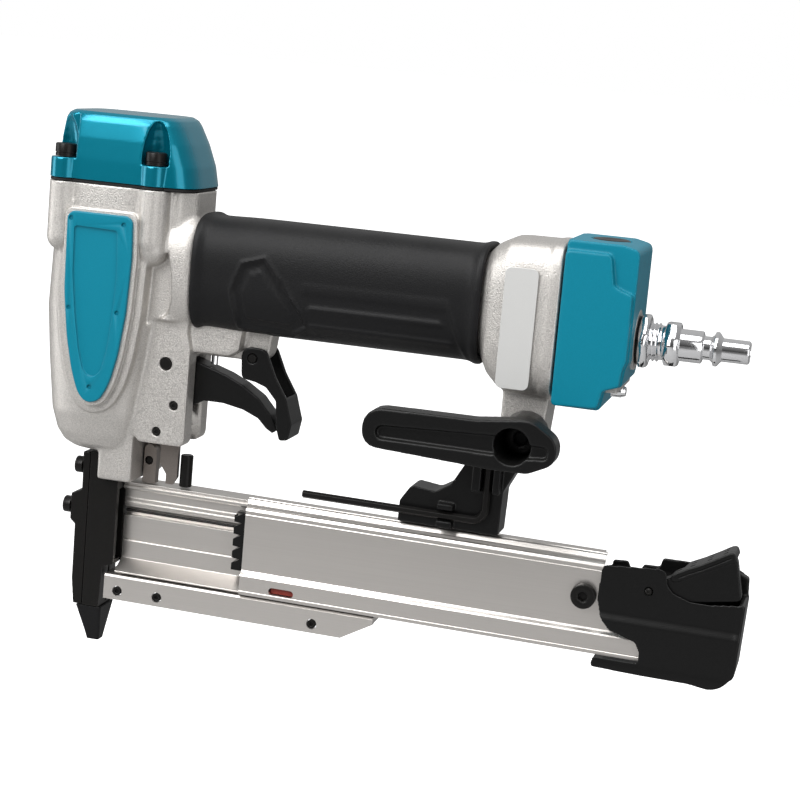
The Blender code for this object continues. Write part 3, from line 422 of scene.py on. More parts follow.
def new_group(name: str, inputs: dict[str, float], output: str) -> tuple[bpy.types.NodeTree, Graph, object,
                                                                         object]:
    """A shader group with float inputs and one float output.

    Args:
        name: the group's name.
        inputs: each input's name and default value.
        output: the output's name.

    Returns:
        The tree, a Graph over it, its input node and its output node.
    """
    tree = bpy.data.node_groups.new(name, "ShaderNodeTree")
    for title, value in inputs.items():
        socket = tree.interface.new_socket(name=title, in_out="INPUT", socket_type="NodeSocketFloat")
        socket.default_value = value
    tree.interface.new_socket(name=output, in_out="OUTPUT", socket_type="NodeSocketFloat")
    graph = Graph(tree)
    return tree, graph, graph.add("NodeGroupInput"), graph.add("NodeGroupOutput")


def grain_group() -> bpy.types.NodeTree:
    """Fine even speckle, about 0.5 on average."""
    tree, graph, given, result = new_group("fine_grain", {"Scale": 2500.0, "Contrast": 1.5}, "Value")
    place = graph.add("ShaderNodeTexCoord")
    noise = graph.add("ShaderNodeTexNoise")
    noise.inputs["Detail"].default_value = 3.0
    graph.link(place.outputs["Object"], noise.inputs["Vector"])
    graph.link(given.outputs["Scale"], noise.inputs["Scale"])
    centred = graph.maths("SUBTRACT", noise.outputs[0], 0.5)
    scaled = graph.maths("MULTIPLY", centred, given.outputs["Contrast"])
    graph.link(graph.maths("ADD", scaled, 0.5, clamp=True), result.inputs[0])
    return tree


def streak_group() -> bpy.types.NodeTree:
    """Long thin lines along X, as a drawn or brushed metal has."""
    tree, graph, given, result = new_group("long_streaks", {"Along": 12.0, "Across": 2600.0}, "Value")
    place = graph.add("ShaderNodeTexCoord")
    stretch = graph.add("ShaderNodeCombineXYZ")
    graph.link(given.outputs["Along"], stretch.inputs[0])
    graph.link(given.outputs["Across"], stretch.inputs[1])
    graph.link(given.outputs["Across"], stretch.inputs[2])
    scaled = graph.add("ShaderNodeVectorMath", operation="MULTIPLY")
    graph.link(place.outputs["Object"], scaled.inputs[0])
    graph.link(stretch.outputs[0], scaled.inputs[1])
    noise = graph.add("ShaderNodeTexNoise")
    noise.inputs["Scale"].default_value = 1.0
    noise.inputs["Detail"].default_value = 4.0
    graph.link(scaled.outputs[0], noise.inputs["Vector"])
    graph.link(noise.outputs[0], result.inputs[0])
    return tree


def wear_group() -> bpy.types.NodeTree:
    """Broken rubbing along outer edges: 1 on a worn edge, 0 away from it."""
    tree, graph, given, result = new_group("edge_wear", {"Radius": 0.0005, "Amount": 4.0}, "Mask")
    bevel = graph.add("ShaderNodeBevel", samples=4)
    graph.link(given.outputs["Radius"], bevel.inputs["Radius"])
    surface = graph.add("ShaderNodeNewGeometry")
    dot = graph.add("ShaderNodeVectorMath", operation="DOT_PRODUCT")
    graph.link(bevel.outputs[0], dot.inputs[0])
    graph.link(surface.outputs["Normal"], dot.inputs[1])
    edge = graph.maths("SUBTRACT", 1.0, dot.outputs["Value"])
    strong = graph.maths("MULTIPLY", edge, given.outputs["Amount"])
    place = graph.add("ShaderNodeTexCoord")
    noise = graph.add("ShaderNodeTexNoise")
    noise.inputs["Scale"].default_value = 420.0
    graph.link(place.outputs["Object"], noise.inputs["Vector"])
    graph.link(graph.maths("MULTIPLY", strong, noise.outputs[0], clamp=True), result.inputs[0])
    return tree


def dust_group() -> bpy.types.NodeTree:
    """A faint film in patches on faces that look up."""
    tree, graph, given, result = new_group("settled_dust", {"Amount": 0.1}, "Mask")
    surface = graph.add("ShaderNodeNewGeometry")
    parts = graph.add("ShaderNodeSeparateXYZ")
    graph.link(surface.outputs["Normal"], parts.inputs[0])
    place = graph.add("ShaderNodeTexCoord")
    noise = graph.add("ShaderNodeTexNoise")
    noise.inputs["Scale"].default_value = 90.0
    noise.inputs["Detail"].default_value = 5.0
    graph.link(place.outputs["Object"], noise.inputs["Vector"])
    upward = graph.maths("MAXIMUM", parts.outputs[2], 0.0)
    patch = graph.maths("MULTIPLY", upward, noise.outputs[0])
    graph.link(graph.maths("MULTIPLY", patch, given.outputs["Amount"], clamp=True), result.inputs[0])
    return tree


# --- Finishes --------------------------------------------------------------------------------

@dataclass(frozen=True)
class Finish:
    """One surface finish; colours are linear RGB and depths millimetres."""

    name: str
    slot: str
    colour: tuple[float, float, float]
    roughness: float
    metallic: float = 0.0
    coat: float = 0.0
    specular: float = 0.5
    grain_scale: float = 2500.0
    grain_contrast: float = 1.6
    grain_colour: float = 0.05
    grain_rough: float = 0.08
    grain_depth: float = 0.02
    streaks: float = 0.0
    streak_depth: float = 0.0
    wear: float = 0.0
    wear_colour: tuple[float, float, float] = (0.45, 0.43, 0.41)
    dust: float = 0.0

    def build(self, groups: dict[str, bpy.types.NodeTree]) -> bpy.types.Material:
        """Makes the material.

        Args:
            groups: the shader groups by short name.

        Returns:
            A node material with one Principled shader.
        """
        made = bpy.data.materials.new(self.name)
        made.use_nodes = True
        graph = Graph(made.node_tree)
        shader = made.node_tree.nodes["Principled BSDF"]
        shader.inputs["Metallic"].default_value = self.metallic
        shader.inputs["Coat Weight"].default_value = self.coat
        shader.inputs["Specular IOR Level"].default_value = self.specular
        shader.inputs["Coat Roughness"].default_value = 0.06
        grain = graph.add("ShaderNodeGroup", node_tree=groups["grain"])
        grain.inputs["Scale"].default_value = self.grain_scale
        grain.inputs["Contrast"].default_value = self.grain_contrast
        value = grain.outputs[0]
        height = graph.maths("MULTIPLY", value, self.grain_depth)
        if self.streaks:
            lines = graph.add("ShaderNodeGroup", node_tree=groups["streaks"])
            mixed = graph.maths("MULTIPLY", lines.outputs[0], self.streaks)
            value = graph.maths("ADD", graph.maths("MULTIPLY", value, 1 - self.streaks), mixed)
            drawn = graph.maths("MULTIPLY", lines.outputs[0], self.streak_depth)
            height = graph.maths("ADD", height, drawn)
        dark = tuple(channel * (1 - self.grain_colour) for channel in self.colour)
        light = tuple(min(1.0, channel * (1 + self.grain_colour)) for channel in self.colour)
        colour = graph.blend(value, dark, light)
        rough = graph.maths("MULTIPLY_ADD", value, self.grain_rough, self.roughness - self.grain_rough / 2)
        if self.wear:
            edge = graph.add("ShaderNodeGroup", node_tree=groups["wear"])
            edge.inputs["Amount"].default_value = self.wear
            colour = graph.blend(edge.outputs[0], colour, self.wear_colour)
        if self.dust:
            film = graph.add("ShaderNodeGroup", node_tree=groups["dust"])
            film.inputs["Amount"].default_value = self.dust
            colour = graph.blend(film.outputs[0], colour, (0.5, 0.49, 0.47))
        graph.link(colour, shader.inputs["Base Color"])
        graph.link(rough, shader.inputs["Roughness"])
        bump = graph.add("ShaderNodeBump")
        bump.inputs["Strength"].default_value = 1.0
        bump.inputs["Distance"].default_value = MM
        graph.link(height, bump.inputs["Height"])
        graph.link(bump.outputs[0], shader.inputs["Normal"])
        return made


class Look(Enum):
    """The object's finishes by plain names."""

    CAST = Finish("painted_casting", "cast_alloy", (0.53, 0.51, 0.485), 0.44, metallic=0.8,
                  grain_scale=2300,
                  grain_contrast=3.0, grain_colour=0.17, grain_rough=0.18, grain_depth=0.05)
    TEAL_GLOSS = Finish("teal_enamel", "teal_paint", (0.0, 0.175, 0.250), 0.24, metallic=0.55, coat=0.25,
                        specular=0.25,
                        grain_scale=5200, grain_colour=0.10, grain_depth=0.0012)
    TEAL_SATIN = Finish("teal_moulding", "teal_plastic", (0.0, 0.165, 0.240), 0.40, specular=0.22,
                        grain_scale=2600,
                        grain_depth=0.010, dust=0.03)
    GRIP = Finish("grip_elastomer", "grip_rubber", (0.0045, 0.0045, 0.005), 0.48, specular=0.20,
                  grain_scale=2300,
                  grain_contrast=2.0, grain_colour=0.22, grain_depth=0.05, dust=0.02)
    BLACK = Finish("black_moulding", "black_plastic", (0.004, 0.004, 0.004), 0.34, specular=0.22,
                   grain_scale=2600,
                   grain_colour=0.18, grain_depth=0.02, dust=0.02)
    OXIDE = Finish("black_oxide_steel", "black_oxide", (0.008, 0.0075, 0.007), 0.34, metallic=0.3,
                   specular=0.25,
                   grain_scale=3600, grain_colour=0.3, grain_depth=0.012, wear=1.2,
                   wear_colour=(0.10, 0.095, 0.09))
    EXTRUSION = Finish("anodised_extrusion", "extrusion", (0.64, 0.61, 0.58), 0.30, metallic=0.92,
                       grain_scale=4200, grain_colour=0.06, grain_depth=0.003, streaks=0.75,
                       streak_depth=0.006)
    CHROME = Finish("bright_plating", "bright_plate", (0.80, 0.80, 0.81), 0.10, metallic=1.0,
                    grain_scale=1800,
                    grain_colour=0.02, grain_rough=0.05, grain_depth=0.001)
    STEEL = Finish("bare_steel_plate", "bare_steel", (0.26, 0.23, 0.21), 0.38, metallic=0.9,
                   grain_scale=2600,
                   grain_colour=0.2, grain_depth=0.01, streaks=0.3, streak_depth=0.003)
    LABEL = Finish("label_film", "grey_label", (0.52, 0.52, 0.51), 0.38, metallic=0.15, grain_scale=5200,
                   grain_colour=0.03, grain_depth=0.002, coat=0.15)
    SEAL = Finish("black_seal", "seal_rubber", (0.007, 0.007, 0.007), 0.6, specular=0.3, grain_scale=1900,
                  grain_depth=0.02)
    POPPET = Finish("grey_moulding", "poppet_plastic", (0.05, 0.05, 0.05), 0.45, grain_scale=2100)
    GAUGE = Finish("red_gauge", "black_plastic", (0.20, 0.018, 0.008), 0.5, grain_scale=1900,
                   grain_colour=0.2)


# The magazine hangs this much lower for each millimetre behind its front end.
SLOPE = 0.0125
SLOPE_START = Span.of("magazine_rail").x0
SLOPING_BODIES = ("magazine", "latch", "pusher", "hex_key")
SLOPING_NODES = ("magazine_rail", "foot_rail", "foot_rail_screw_1", "foot_rail_screw_2",
                 "foot_rail_screw_3",
                 "pusher_rod", "hanger_bracket")


def hung(point: Vector) -> Vector:
    """Lowers a point of the magazine towards its rear; the hanger's upper end stays put."""
    hold = max(0.0, min(1.0, (90.0 - point.z) / 12.0))
    point.z -= SLOPE * max(0.0, point.x - SLOPE_START) * hold
    return point


@dataclass
class Workshop:
    """Keeps the materials and hands finished pieces to their bodies."""

    materials: dict[Look, bpy.types.Material] = field(default_factory=dict)
    count: int = 0

    def prepare(self) -> None:
        """Builds the shader groups and every finish."""
        groups = {"grain": grain_group(), "streaks": streak_group(), "wear": wear_group(),
                  "dust": dust_group()}
        for look in Look:
            self.materials[look] = look.value.build(groups)

    def hand_over(self, piece: bpy.types.Object, look: Look, body: str, *nodes: str) -> bpy.types.Object:
        """Dresses a piece and puts it on its body.

        Args:
            piece: the finished object.
            look: its finish.
            body: the frame body that carries it.
            nodes: the frame nodes it stands for.

        Returns:
            The same object.
        """
        if body in SLOPING_BODIES or any(node in SLOPING_NODES for node in nodes):
            moved_points(piece, hung)
        piece.data.materials.clear()
        piece.data.materials.append(self.materials[look])
        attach(piece, body)
        if nodes:
            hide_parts(*nodes)
        self.count += 1
        LOG.info("%s: %d faces, on %s", piece.name, len(piece.data.polygons), body)
        return piece

    def dress(self, node: str, look: Look) -> None:
        """Gives a frame node that stays in view its finish."""
        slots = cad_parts[node].material_slots
        for slot in slots:
            slot.material = self.materials[look]
        LOG.info("%s: carried over as %s", node, look.value.name)


# --- Shared small parts ----------------------------------------------------------------------

def along(span: Span, axis: Axis) -> tuple[float, float, Point]:
    """A box's low and high ends along an axis and its middle across it."""
    if axis is Axis.X:
        return span.x0, span.x1, (span.y, span.z)
    if axis is Axis.Y:
        return span.y0, span.y1, (span.x, span.z)
    return span.z0, span.z1, (span.x, span.y)


@dataclass(frozen=True)
class SocketScrew:
    """A socket head screw that stands for a frame node."""

    node: str
    axis: Axis
    head_radius: float
    head_high: float
    shank_radius: float
    flats: float
    head_is_low: bool = True
    washer: float = 0.0

    def build(self, shop: Workshop, body: str = "tool") -> bpy.types.Object:
        """Turns the screw, cuts its hexagon socket and hands it over."""
        low, high, centre = along(Span.of(self.node), self.axis)
        start, end, way = (low, high, 1.0) if self.head_is_low else (high, low, -1.0)
        edge = 0.12 * self.head_radius
        seat = start + way * self.head_high
        profile = [(0, start), (self.head_radius - edge, start),
                   (self.head_radius - edge * 0.3, start + way * edge * 0.3),
                   (self.head_radius, start + way * edge)]
        if self.washer:
            above = seat - way * self.washer
            profile += [(self.head_radius, above - way * 0.15), (self.head_radius - 0.3, above)]
            profile += [(self.head_radius - 0.3, above + way * 0.12),
                        (self.head_radius - 0.1, above + way * 0.25)]
            profile += [(self.head_radius - 0.1, seat)]
        else:
            profile += [(self.head_radius, seat)]
        profile += [(self.shank_radius, seat), (self.shank_radius, end), (0, end)]
        made = turned(f"{self.node}_fine", profile, centre, self.axis)
        depth = min(self.head_high * 0.6, 2.4)
        bottom, top = sorted((start - way, start + way * depth))
        socket = prism("socket", hexagon(self.flats, centre, math.pi / 6), self.axis, bottom, top)
        wide = self.flats * 0.62
        lead = turned("lead", [(0, start - way * 0.4), (wide + 0.4, start - way * 0.4),
                               (wide - 0.35, start + way * 0.35),
                               (0, start + way * 0.35)], centre, self.axis)
        carve(made, socket, lead)
        return shop.hand_over(made, Look.OXIDE, body, self.node)


def round_pin(shop: Workshop, node: str, axis: Axis, recess: float, look: Look, body: str = "tool") -> None:
    """A pin with eased ends and a small recess in each, in place of a frame node."""
    low, high, centre = along(Span.of(node), axis)
    span = Span.of(node)
    radius = (span.z1 - span.z0) / 2 if axis is not Axis.Z else (span.x1 - span.x0) / 2
    ease = min(0.3, radius * 0.3)
    profile = [(0, low + recess * 0.5), (recess, low + recess * 0.5), (recess, low), (radius - ease, low),
               (radius, low + ease)]
    profile += [(radius, high - ease), (radius - ease, high), (recess, high), (recess, high - recess * 0.5)]
    if recess == 0:
        profile = [(0, low), (radius - ease, low), (radius, low + ease), (radius, high - ease),
                   (radius - ease, high)]
    profile += [(0, high - recess * 0.5)]
    shop.hand_over(turned(f"{node}_fine", profile, centre, axis), look, body, node)


def hex_nut(name: str, flats: float, centre: Point, low: float, high: float) -> bpy.types.Object:
    """A hexagon along X whose corners are chamfered at both ends."""
    nut = prism(name, hexagon(flats, centre), Axis.X, low, high)
    corner = flats / math.sqrt(3)
    face = flats / 2 * 0.97
    drop = (corner - face) * 0.5
    envelope = [(0, low), (face, low), (corner, low + drop), (corner, high - drop), (face, high), (0, high)]
    return carve(nut, turned("envelope", envelope, centre, Axis.X), how="INTERSECT")


# --- Head, handle and rear block -------------------------------------------------------------

@dataclass
class Casting:
    """The one-piece casting: head, handle tube, rear block, trigger cheeks and nose foot."""

    cell: float = 0.5
    passes: int = 9
    badge_corners: tuple[Point, ...] = (
        (-10.9, 157.8), (13.3, 157.8), (13.9, 143), (13.0, 124), (11.0, 109), (8.4, 98.6),
        (5.0, 92.2), (0.2, 91.0), (-3.2, 94.2), (-6.0, 101.8), (-8.6, 114), (-10.5, 130))
    head_stations: tuple[tuple[float, float, float, float], ...] = (
        (71.8, -7.5, 11.0, 8.0), (72.6, -11.0, 12.6, 10.6), (74.6, -14.4, 13.6, 13.2),
        (78.5, -16.9, 14.8, 15.4),
        (86.0, -18.9, 16.4, 17.8), (104.6, -20.8, 19.0, 19.6), (122.7, -22.3, 21.5, 20.4),
        (142.0, -21.6, 23.5, 20.5),
        (168.2, -20.4, 24.0, 20.3))

    def head_x(self) -> float:
        """Middle of the four cap screws along X."""
        return (Span.of("cap_screw_front_left").x + Span.of("cap_screw_rear_left").x) / 2

    def badge_outline(self, growth: float = 0.0) -> list[Point]:
        """The side badge's outline, flowing apart from its two upper corners."""
        return rounded(grown(self.badge_corners, growth), [3.0, 3.0] + [60.0] * 10, 8)

    def head_ring(self, height: float, front: float, rear: float, half_wide: float,
                  power: float = 2.8) -> list[Vector]:
        """One ring of the head; front and rear are X positions."""
        middle = self.head_x()
        outline = superellipse((middle, 0), (middle - front, rear - middle), half_wide, power)
        return [Axis.Z.place(u, v, height) for u, v in outline]

    def handle_ring(self, x: float, z: float, half_high: float, half_wide: float,
                    power: float = 3.2) -> list[Vector]:
        """One ring of the handle at a station along X."""
        outline = superellipse((0, z), (half_wide, half_wide), half_high, power)
        return [Axis.X.place(u, v, x) for u, v in outline]

    def columns(self) -> list[bpy.types.Object]:
        """The four screw columns, with rounded lower ends, and the soft ground around each badge."""
        parts = []
        for end in ("front", "rear"):
            for side in ("left", "right"):
                screw = Span.of(f"cap_screw_{end}_{side}")
                if end == "front":
                    parts.append(self.column(4.9, 143.0, (screw.x, screw.y)))
                else:
                    parts.append(self.column(4.7, 144.3, (screw.x - 0.1, screw.y)))
                    parts.append(self.column(5.7, 140.8, (screw.x + 0.1, screw.y * 0.9)))
        for side in (-1, 1):
            wide = sorted((side * 9.0, side * 19.2))
            parts.append(prism("badge_ground", self.badge_outline(4.4), Axis.Y, *wide))
        return parts

    def column(self, radius: float, low: float, centre: Point) -> bpy.types.Object:
        """A screw column with a domed lower end."""
        dome = [(radius * math.sin(math.pi / 2 * k / 10),
                 low + radius * (1 - math.cos(math.pi / 2 * k / 10)))
                for k in range(11)]
        return turned("column", dome + [(radius, 168.2), (0, 168.2)], centre, Axis.Z)

    def blanks(self) -> list[bpy.types.Object]:
        """The overlapping solids that the casting grows from, apart from the columns."""
        whole = Span.of("body_housing")
        parts = [loft("head", [self.head_ring(*station) for station in self.head_stations])]
        back = rounded([(14, -15.5), (27, -15.0), (32.4, -9), (32.4, 9), (27, 15.0), (14, 15.5)], 3.0)
        parts.append(prism("head_back", back, Axis.Z, 122.0, 168.2))
        stations = [
            self.handle_ring(20.0, 139.5, 20.4, 16.8), self.handle_ring(27.0, 139.6, 20.6, 17.2),
            self.handle_ring(31.6, 139.8, 20.0, 17.0), self.handle_ring(33.2, 140, 19.0, 16.3),
            self.handle_ring(35.1, 140, 17.0, 14.3), self.handle_ring(134.8, 140, 17.0, 14.3),
            self.handle_ring(136.4, 140, 18.9, 16.1), self.handle_ring(138.8, 139.0, 22.4, 17.2, 3.6),
            self.handle_ring(143.4, 138.2, 25.6, 18.1, 4.6),
            self.handle_ring(147.0, 138.0, 26.0, 18.3, 5.0),
            self.handle_ring(whole.x1, 138.0, 26.2, 18.3, 5.0)]
        parts.append(loft("handle", stations))
        flange = [self.handle_ring(x, 138.0, 26.5, 18.75, 5.4) for x in (158.4, whole.x1)]
        parts.append(loft("rear_flange", flange))
        belly = rounded([(20, 108.0), (30, 110.2), (50, 110.4), (54.9, 107.9), (60.2, 112.5), (62.0, 126),
                         (20, 126)],
                        [0, 0, 2, 3.6, 4, 0, 0])
        parts.append(prism("trigger_housing", belly, Axis.Y, -4.7, 4.7))
        under = [(20, 111.6), (47, 111.6), (50.5, 114.0), (52, 126), (20, 126)]
        parts.append(prism("handle_underside", under, Axis.Y, -9.3, 9.3))
        cheek = rounded([(10, 124), (10, 86), (16.5, 77.6), (33.7, 77.6), (33.7, 113), (32.4, 118),
                         (32.4, 124)],
                        [0, 0, 2, 2.4, 0, 0, 0])
        parts.append(prism("cheeks", cheek, Axis.Y, -12, 12))
        foot = rounded([(-11.4, whole.z0), (-11.4, 83.5), (-7.0, 90.0), (7.0, 90.0), (11.4, 83.5),
                        (11.4, whole.z0)],
                       [1.0, 1.0, 0, 0, 1.0, 1.0])
        parts.append(prism("nose_foot", foot, Axis.X, 1.6, 14.4))
        ear = rounded([(12, 76), (12, 63.5), (19.6, 63.5), (20.0, 80)], [0, 0, 4, 1])
        parts.append(prism("hanger_ear", ear, Axis.Y, 3.9, 9.0))
        lug = rounded([(144.8, 116), (144.8, 92.0), (159.5, 92.0), (161.4, 116)], [0, 1, 3, 0])
        parts.append(prism("hook_lug", lug, Axis.Y, -9.0, 9.0))
        return parts

    def cutters(self) -> list[bpy.types.Object]:
        """The machined spaces, crisp edged."""
        drive = Span.of("driver_blade")
        sleeve = Span.of("cylinder_sleeve")
        nose = Span.of("nose_front_plate")
        bore = (drive.x, 0.0)
        tools = [rod("bore", (sleeve.x1 - sleeve.x0) / 2 + 0.5, bore, Axis.Z, sleeve.z0 - 0.3, 175),
                 rod("driver_hole", 2.2, bore, Axis.Z, 60, sleeve.z0 + 1),
                 block("nose_seat", (-6.0, nose.y0 - 0.3, 61), (3.0, nose.y1 + 0.3, nose.z1 + 0.6)),
                 block("head_top", (-40, -40, Span.of("body_housing").z1), (60, 40, 190)),
                 block("cheek_gap", (20.0, -5.0, 70), (40.0, 5.0, 109.6)),
                 block("trigger_roof", (20.6, -5.0, 108), (33.0, 5.0, 112.4)),
                 block("hanger_gap", (14.7, -3.2, 60), (24, 3.6, 79)),
                 loft("reservoir", [self.handle_ring(x, 140, 13.0, 10.5, 3.0) for x in (10.0, 166.0)]),
                 loft("chamber", [self.handle_ring(x, 138, 21.0, 14.5, 4.0) for x in (146.0, 167.0)])]
        valve = Span.of("trigger_valve_case")
        tools.append(rod("valve_seat", (valve.x1 - valve.x0) / 2 + 0.3, (valve.x, 0), Axis.Z, 100, 132))
        for node, low, high in (("trigger_pin", -15, 15), ("lockout_pin_upper", -15, 15),
                                ("lockout_pin_lower", -15, 15),
                                ("safety_lever_pin", -8, 8), ("rail_hanger_pin", 3, 10),
                                ("belt_hook_screw", -12, 4)):
            pin = Span.of(node)
            radius = 2.3 if node == "belt_hook_screw" else (pin.z1 - pin.z0) / 2 + 0.25
            tools.append(rod(f"hole_{node}", radius, (pin.x, pin.z), Axis.Y, low, high))
        for end in ("front", "rear"):
            for side in ("left", "right"):
                screw = Span.of(f"cap_screw_{end}_{side}")
                tools.append(rod("screw_hole", 2.2, (screw.x, screw.y), Axis.Z, screw.z0 - 1, 175))
        screw = Span.of("nose_screw_upper")
        tools.append(rod("nose_screw_hole", 1.9, (screw.y, screw.z), Axis.X, 0, 12.3))
        return tools

    def recesses(self) -> list[bpy.types.Object]:
        """The cast hollows behind the rear columns, cut before the skin is eased."""
        outline = rounded([(14.6, 119.6), (20.2, 120.6), (25.4, 124.4), (27.0, 131.0), (26.4, 139.0),
                           (23.6, 152.0),
                           (22.4, 162.0), (14.6, 162.0)], [0, 4, 5, 6, 8, 4, 0, 0])
        return [prism(f"hollow_{side}", outline, Axis.Y,
                      *sorted((side * 13.4, side * 30))) for side in (-1, 1)]

    def build(self, shop: Workshop) -> None:
        """Grows, eases, cuts and hands over the casting."""
        blank = moulded(gathered("casting_blank", *self.blanks()), 0.6, 0)
        carve(blank, *self.recesses())
        whole = gathered("casting_fine", blank, *self.columns())
        moulded(whole, self.cell, self.passes)
        for side in (-1, 1):
            seat = prism("badge_seat", self.badge_outline(1.5), Axis.Y,
                         *sorted((side * 12.0, side * 21.35)))
            carve(whole, edged(seat, 0.4, 3), how="UNION")
        carve(whole, *self.cutters())
        shop.hand_over(whole, Look.CAST, "tool", "body_housing")


@dataclass
class Cap:
    """The enamelled cap with its gasket and four screws."""

    casting: Casting
    cell: float = 0.3

    def ring(self, height: float, front: float, rear: float, half_wide: float,
             power: float = 4.4) -> list[Vector]:
        """One ring of the cap."""
        return self.casting.head_ring(height, front, rear, half_wide, power)

    def build(self, shop: Workshop) -> None:
        """Makes the cap, gasket and screws."""
        whole = Span.of("top_cap")
        rise = whole.z1 - whole.z0
        rings = [self.ring(whole.z0 + part * rise, front, rear, half) for part, front, rear, half in (
            (-0.06, -20.0, 32.4, 20.0), (0.0, -20.0, 32.3, 20.0), (0.30, -19.6, 30.9, 19.7),
            (0.62, -18.9, 28.0, 19.2),
            (0.88, -18.0, 24.8, 18.5), (0.955, -17.2, 23.6, 17.7), (1.0, -15.6, 21.8, 16.1))]
        parts = [loft("cap_shell", rings)]
        pockets = []
        screws = [Span.of(f"cap_screw_{end}_{side}") for end in ("front", "rear") for side in ("left",
                                                                                               "right")]
        lug_top = screws[0].z1 - 4.7
        for screw in screws:
            place = (screw.x, screw.y)
            parts.append(rod("cap_lug", 4.9, place, Axis.Z, whole.z0 - 2, lug_top))
            out = 1 if screw.y > 0 else -1
            back = screw.x > self.casting.head_x()
            way = 1 if back else -1
            profile = [(0, lug_top), (5.0, lug_top), (4.9, lug_top + 4.6), (4.2, lug_top + 8.6),
                       (3.1, lug_top + 12.0),
                       (1.6, lug_top + 14.6), (0, lug_top + 15.8)]
            pockets.append(turned("pocket", profile, (screw.x + 0.2 * way, screw.y + 0.3 * out), Axis.Z,
                                  48))
            if not back:
                corner = [(screw.x - 9, screw.y), (screw.x + 5.0, screw.y),
                          (screw.x + 5.0, screw.y + 9 * out),
                          (screw.x - 9, screw.y + 9 * out)]
                pockets.append(prism("corner", corner, Axis.Z, lug_top, lug_top + 30))
        cap = gathered("cap_fine", *parts)
        moulded(cap, self.cell, 0)
        carve(cap, *pockets)
        moulded(cap, self.cell, 7)
        sleeve = Span.of("cylinder_sleeve")
        bore = (sleeve.x1 - sleeve.x0) / 2 + 0.3
        cuts = [block("cap_bottom", (-40, -40, whole.z0 - 20), (60, 40, whole.z0)),
                turned("valve_space",
                       [(0, 160), (bore, 160), (bore, 178.0), (8.5, 178.0), (8.5, 184), (0, 184)],
                       (sleeve.x, 0), Axis.Z)]
        cuts += [rod("hole", 2.2, (screw.x, screw.y), Axis.Z, 160, 180) for screw in screws]
        carve(cap, *cuts)
        shop.hand_over(cap, Look.TEAL_GLOSS, "tool", "top_cap")
        self.gasket(shop, screws, bore, sleeve.x)
        for end in ("front", "rear"):
            for side in ("left", "right"):
                SocketScrew(f"cap_screw_{end}_{side}", Axis.Z, 3.65, 4.4, 1.9, 3.0, False, 1.2).build(shop)

    def gasket(self, shop: Workshop, screws: list[Span], bore: float, bore_x: float) -> None:
        """The thin gasket under the cap."""
        span = Span.of("cap_gasket")
        parts = [loft("gasket_sheet",
                      [self.ring(z, -19.7, 32.1, 19.7) for z in (span.z0 - 0.3, span.z1 + 0.3)])]
        parts += [rod("gasket_lug", 4.75, (screw.x, screw.y), Axis.Z, span.z0 - 0.3,
                      span.z1 + 0.3) for screw in screws]
        sheet = parts[0]
        carve(sheet, *parts[1:], how="UNION")
        tools = [rod("gasket_bore", bore + 0.4, (bore_x, 0), Axis.Z, 150, 185)]
        tools += [rod("gasket_hole", 2.2, (screw.x, screw.y), Axis.Z, 150, 185) for screw in screws]
        tools += [block("under", (-40, -40, 150), (60, 40, span.z0)),
                  block("over", (-40, -40, span.z1), (60, 40, 185))]
        carve(sheet, *tools)
        sheet.name = "gasket_fine"
        shop.hand_over(edged(sheet, 0.1, 1), Look.SEAL, "tool", "cap_gasket")


@dataclass
class Badges:
    """The two plain side badges."""

    casting: Casting
    dimples: tuple[Point, ...] = ((-9.2, 155.2), (10.2, 154.6), (-8.2, 124.0), (9.7, 124.0), (1.2, 97.0))
    panel: tuple[Point, ...] = (
        (-7.9, 152.8), (8.1, 152.4), (8.9, 137), (8.1, 122), (6.9, 110), (4.9, 102.2), (1.4, 99.8),
        (-1.7, 102.6), (-3.8, 110), (-5.8, 122), (-7.5, 136))

    def build(self, shop: Workshop) -> None:
        """Makes both badges."""
        for node, side in (("badge_left", -1), ("badge_right", 1)):
            span = Span.of(node)
            inner, outer = (span.y1, span.y0) if side < 0 else (span.y0, span.y1)
            badge = prism(f"{node}_fine", self.casting.badge_outline(-0.15), Axis.Y,
                          *sorted((inner, outer)))
            edged(badge, 0.55, 4)
            floor = outer - side * 0.75
            outline = rounded(self.panel, [1.2, 1.2] + [50.0] * 9, 8)
            panel = prism("panel", outline, Axis.Y, *sorted((floor, outer + side * 3)))
            dimples = [rod("dimple", 0.85, (x, z), Axis.Y, *sorted((outer - side * 0.6, outer + side * 2)))
                       for x, z in self.dimples]
            carve(badge, edged(panel, 0.35, 3), *dimples)
            edged(badge, 0.12, 2, 40)
            shop.hand_over(badge, Look.TEAL_SATIN, "tool", node)


# --- Grip ------------------------------------------------------------------------------------

def reach_to(x: float, z: float, path: Sequence[Point]) -> float:
    """Distance from a point to an open path."""
    best = math.inf
    here = Vector((x, z))
    for first, second in zip(path, path[1:]):
        a, b = Vector(first), Vector(second)
        run = b - a
        part = max(0.0, min(1.0, (here - a).dot(run) / run.length_squared))
        best = min(best, (here - a - run * part).length)
    return best


def inside(x: float, z: float, corners: Sequence[Point]) -> float:
    """How far a point lies inside a convex clockwise outline; negative outside."""
    depth = math.inf
    for first, second in zip(corners, list(corners[1:]) + [corners[0]]):
        run = Vector(second) - Vector(first)
        away = Vector((x, z)) - Vector(first)
        depth = min(depth, (away.x * run.y - away.y * run.x) / run.length)
    return depth


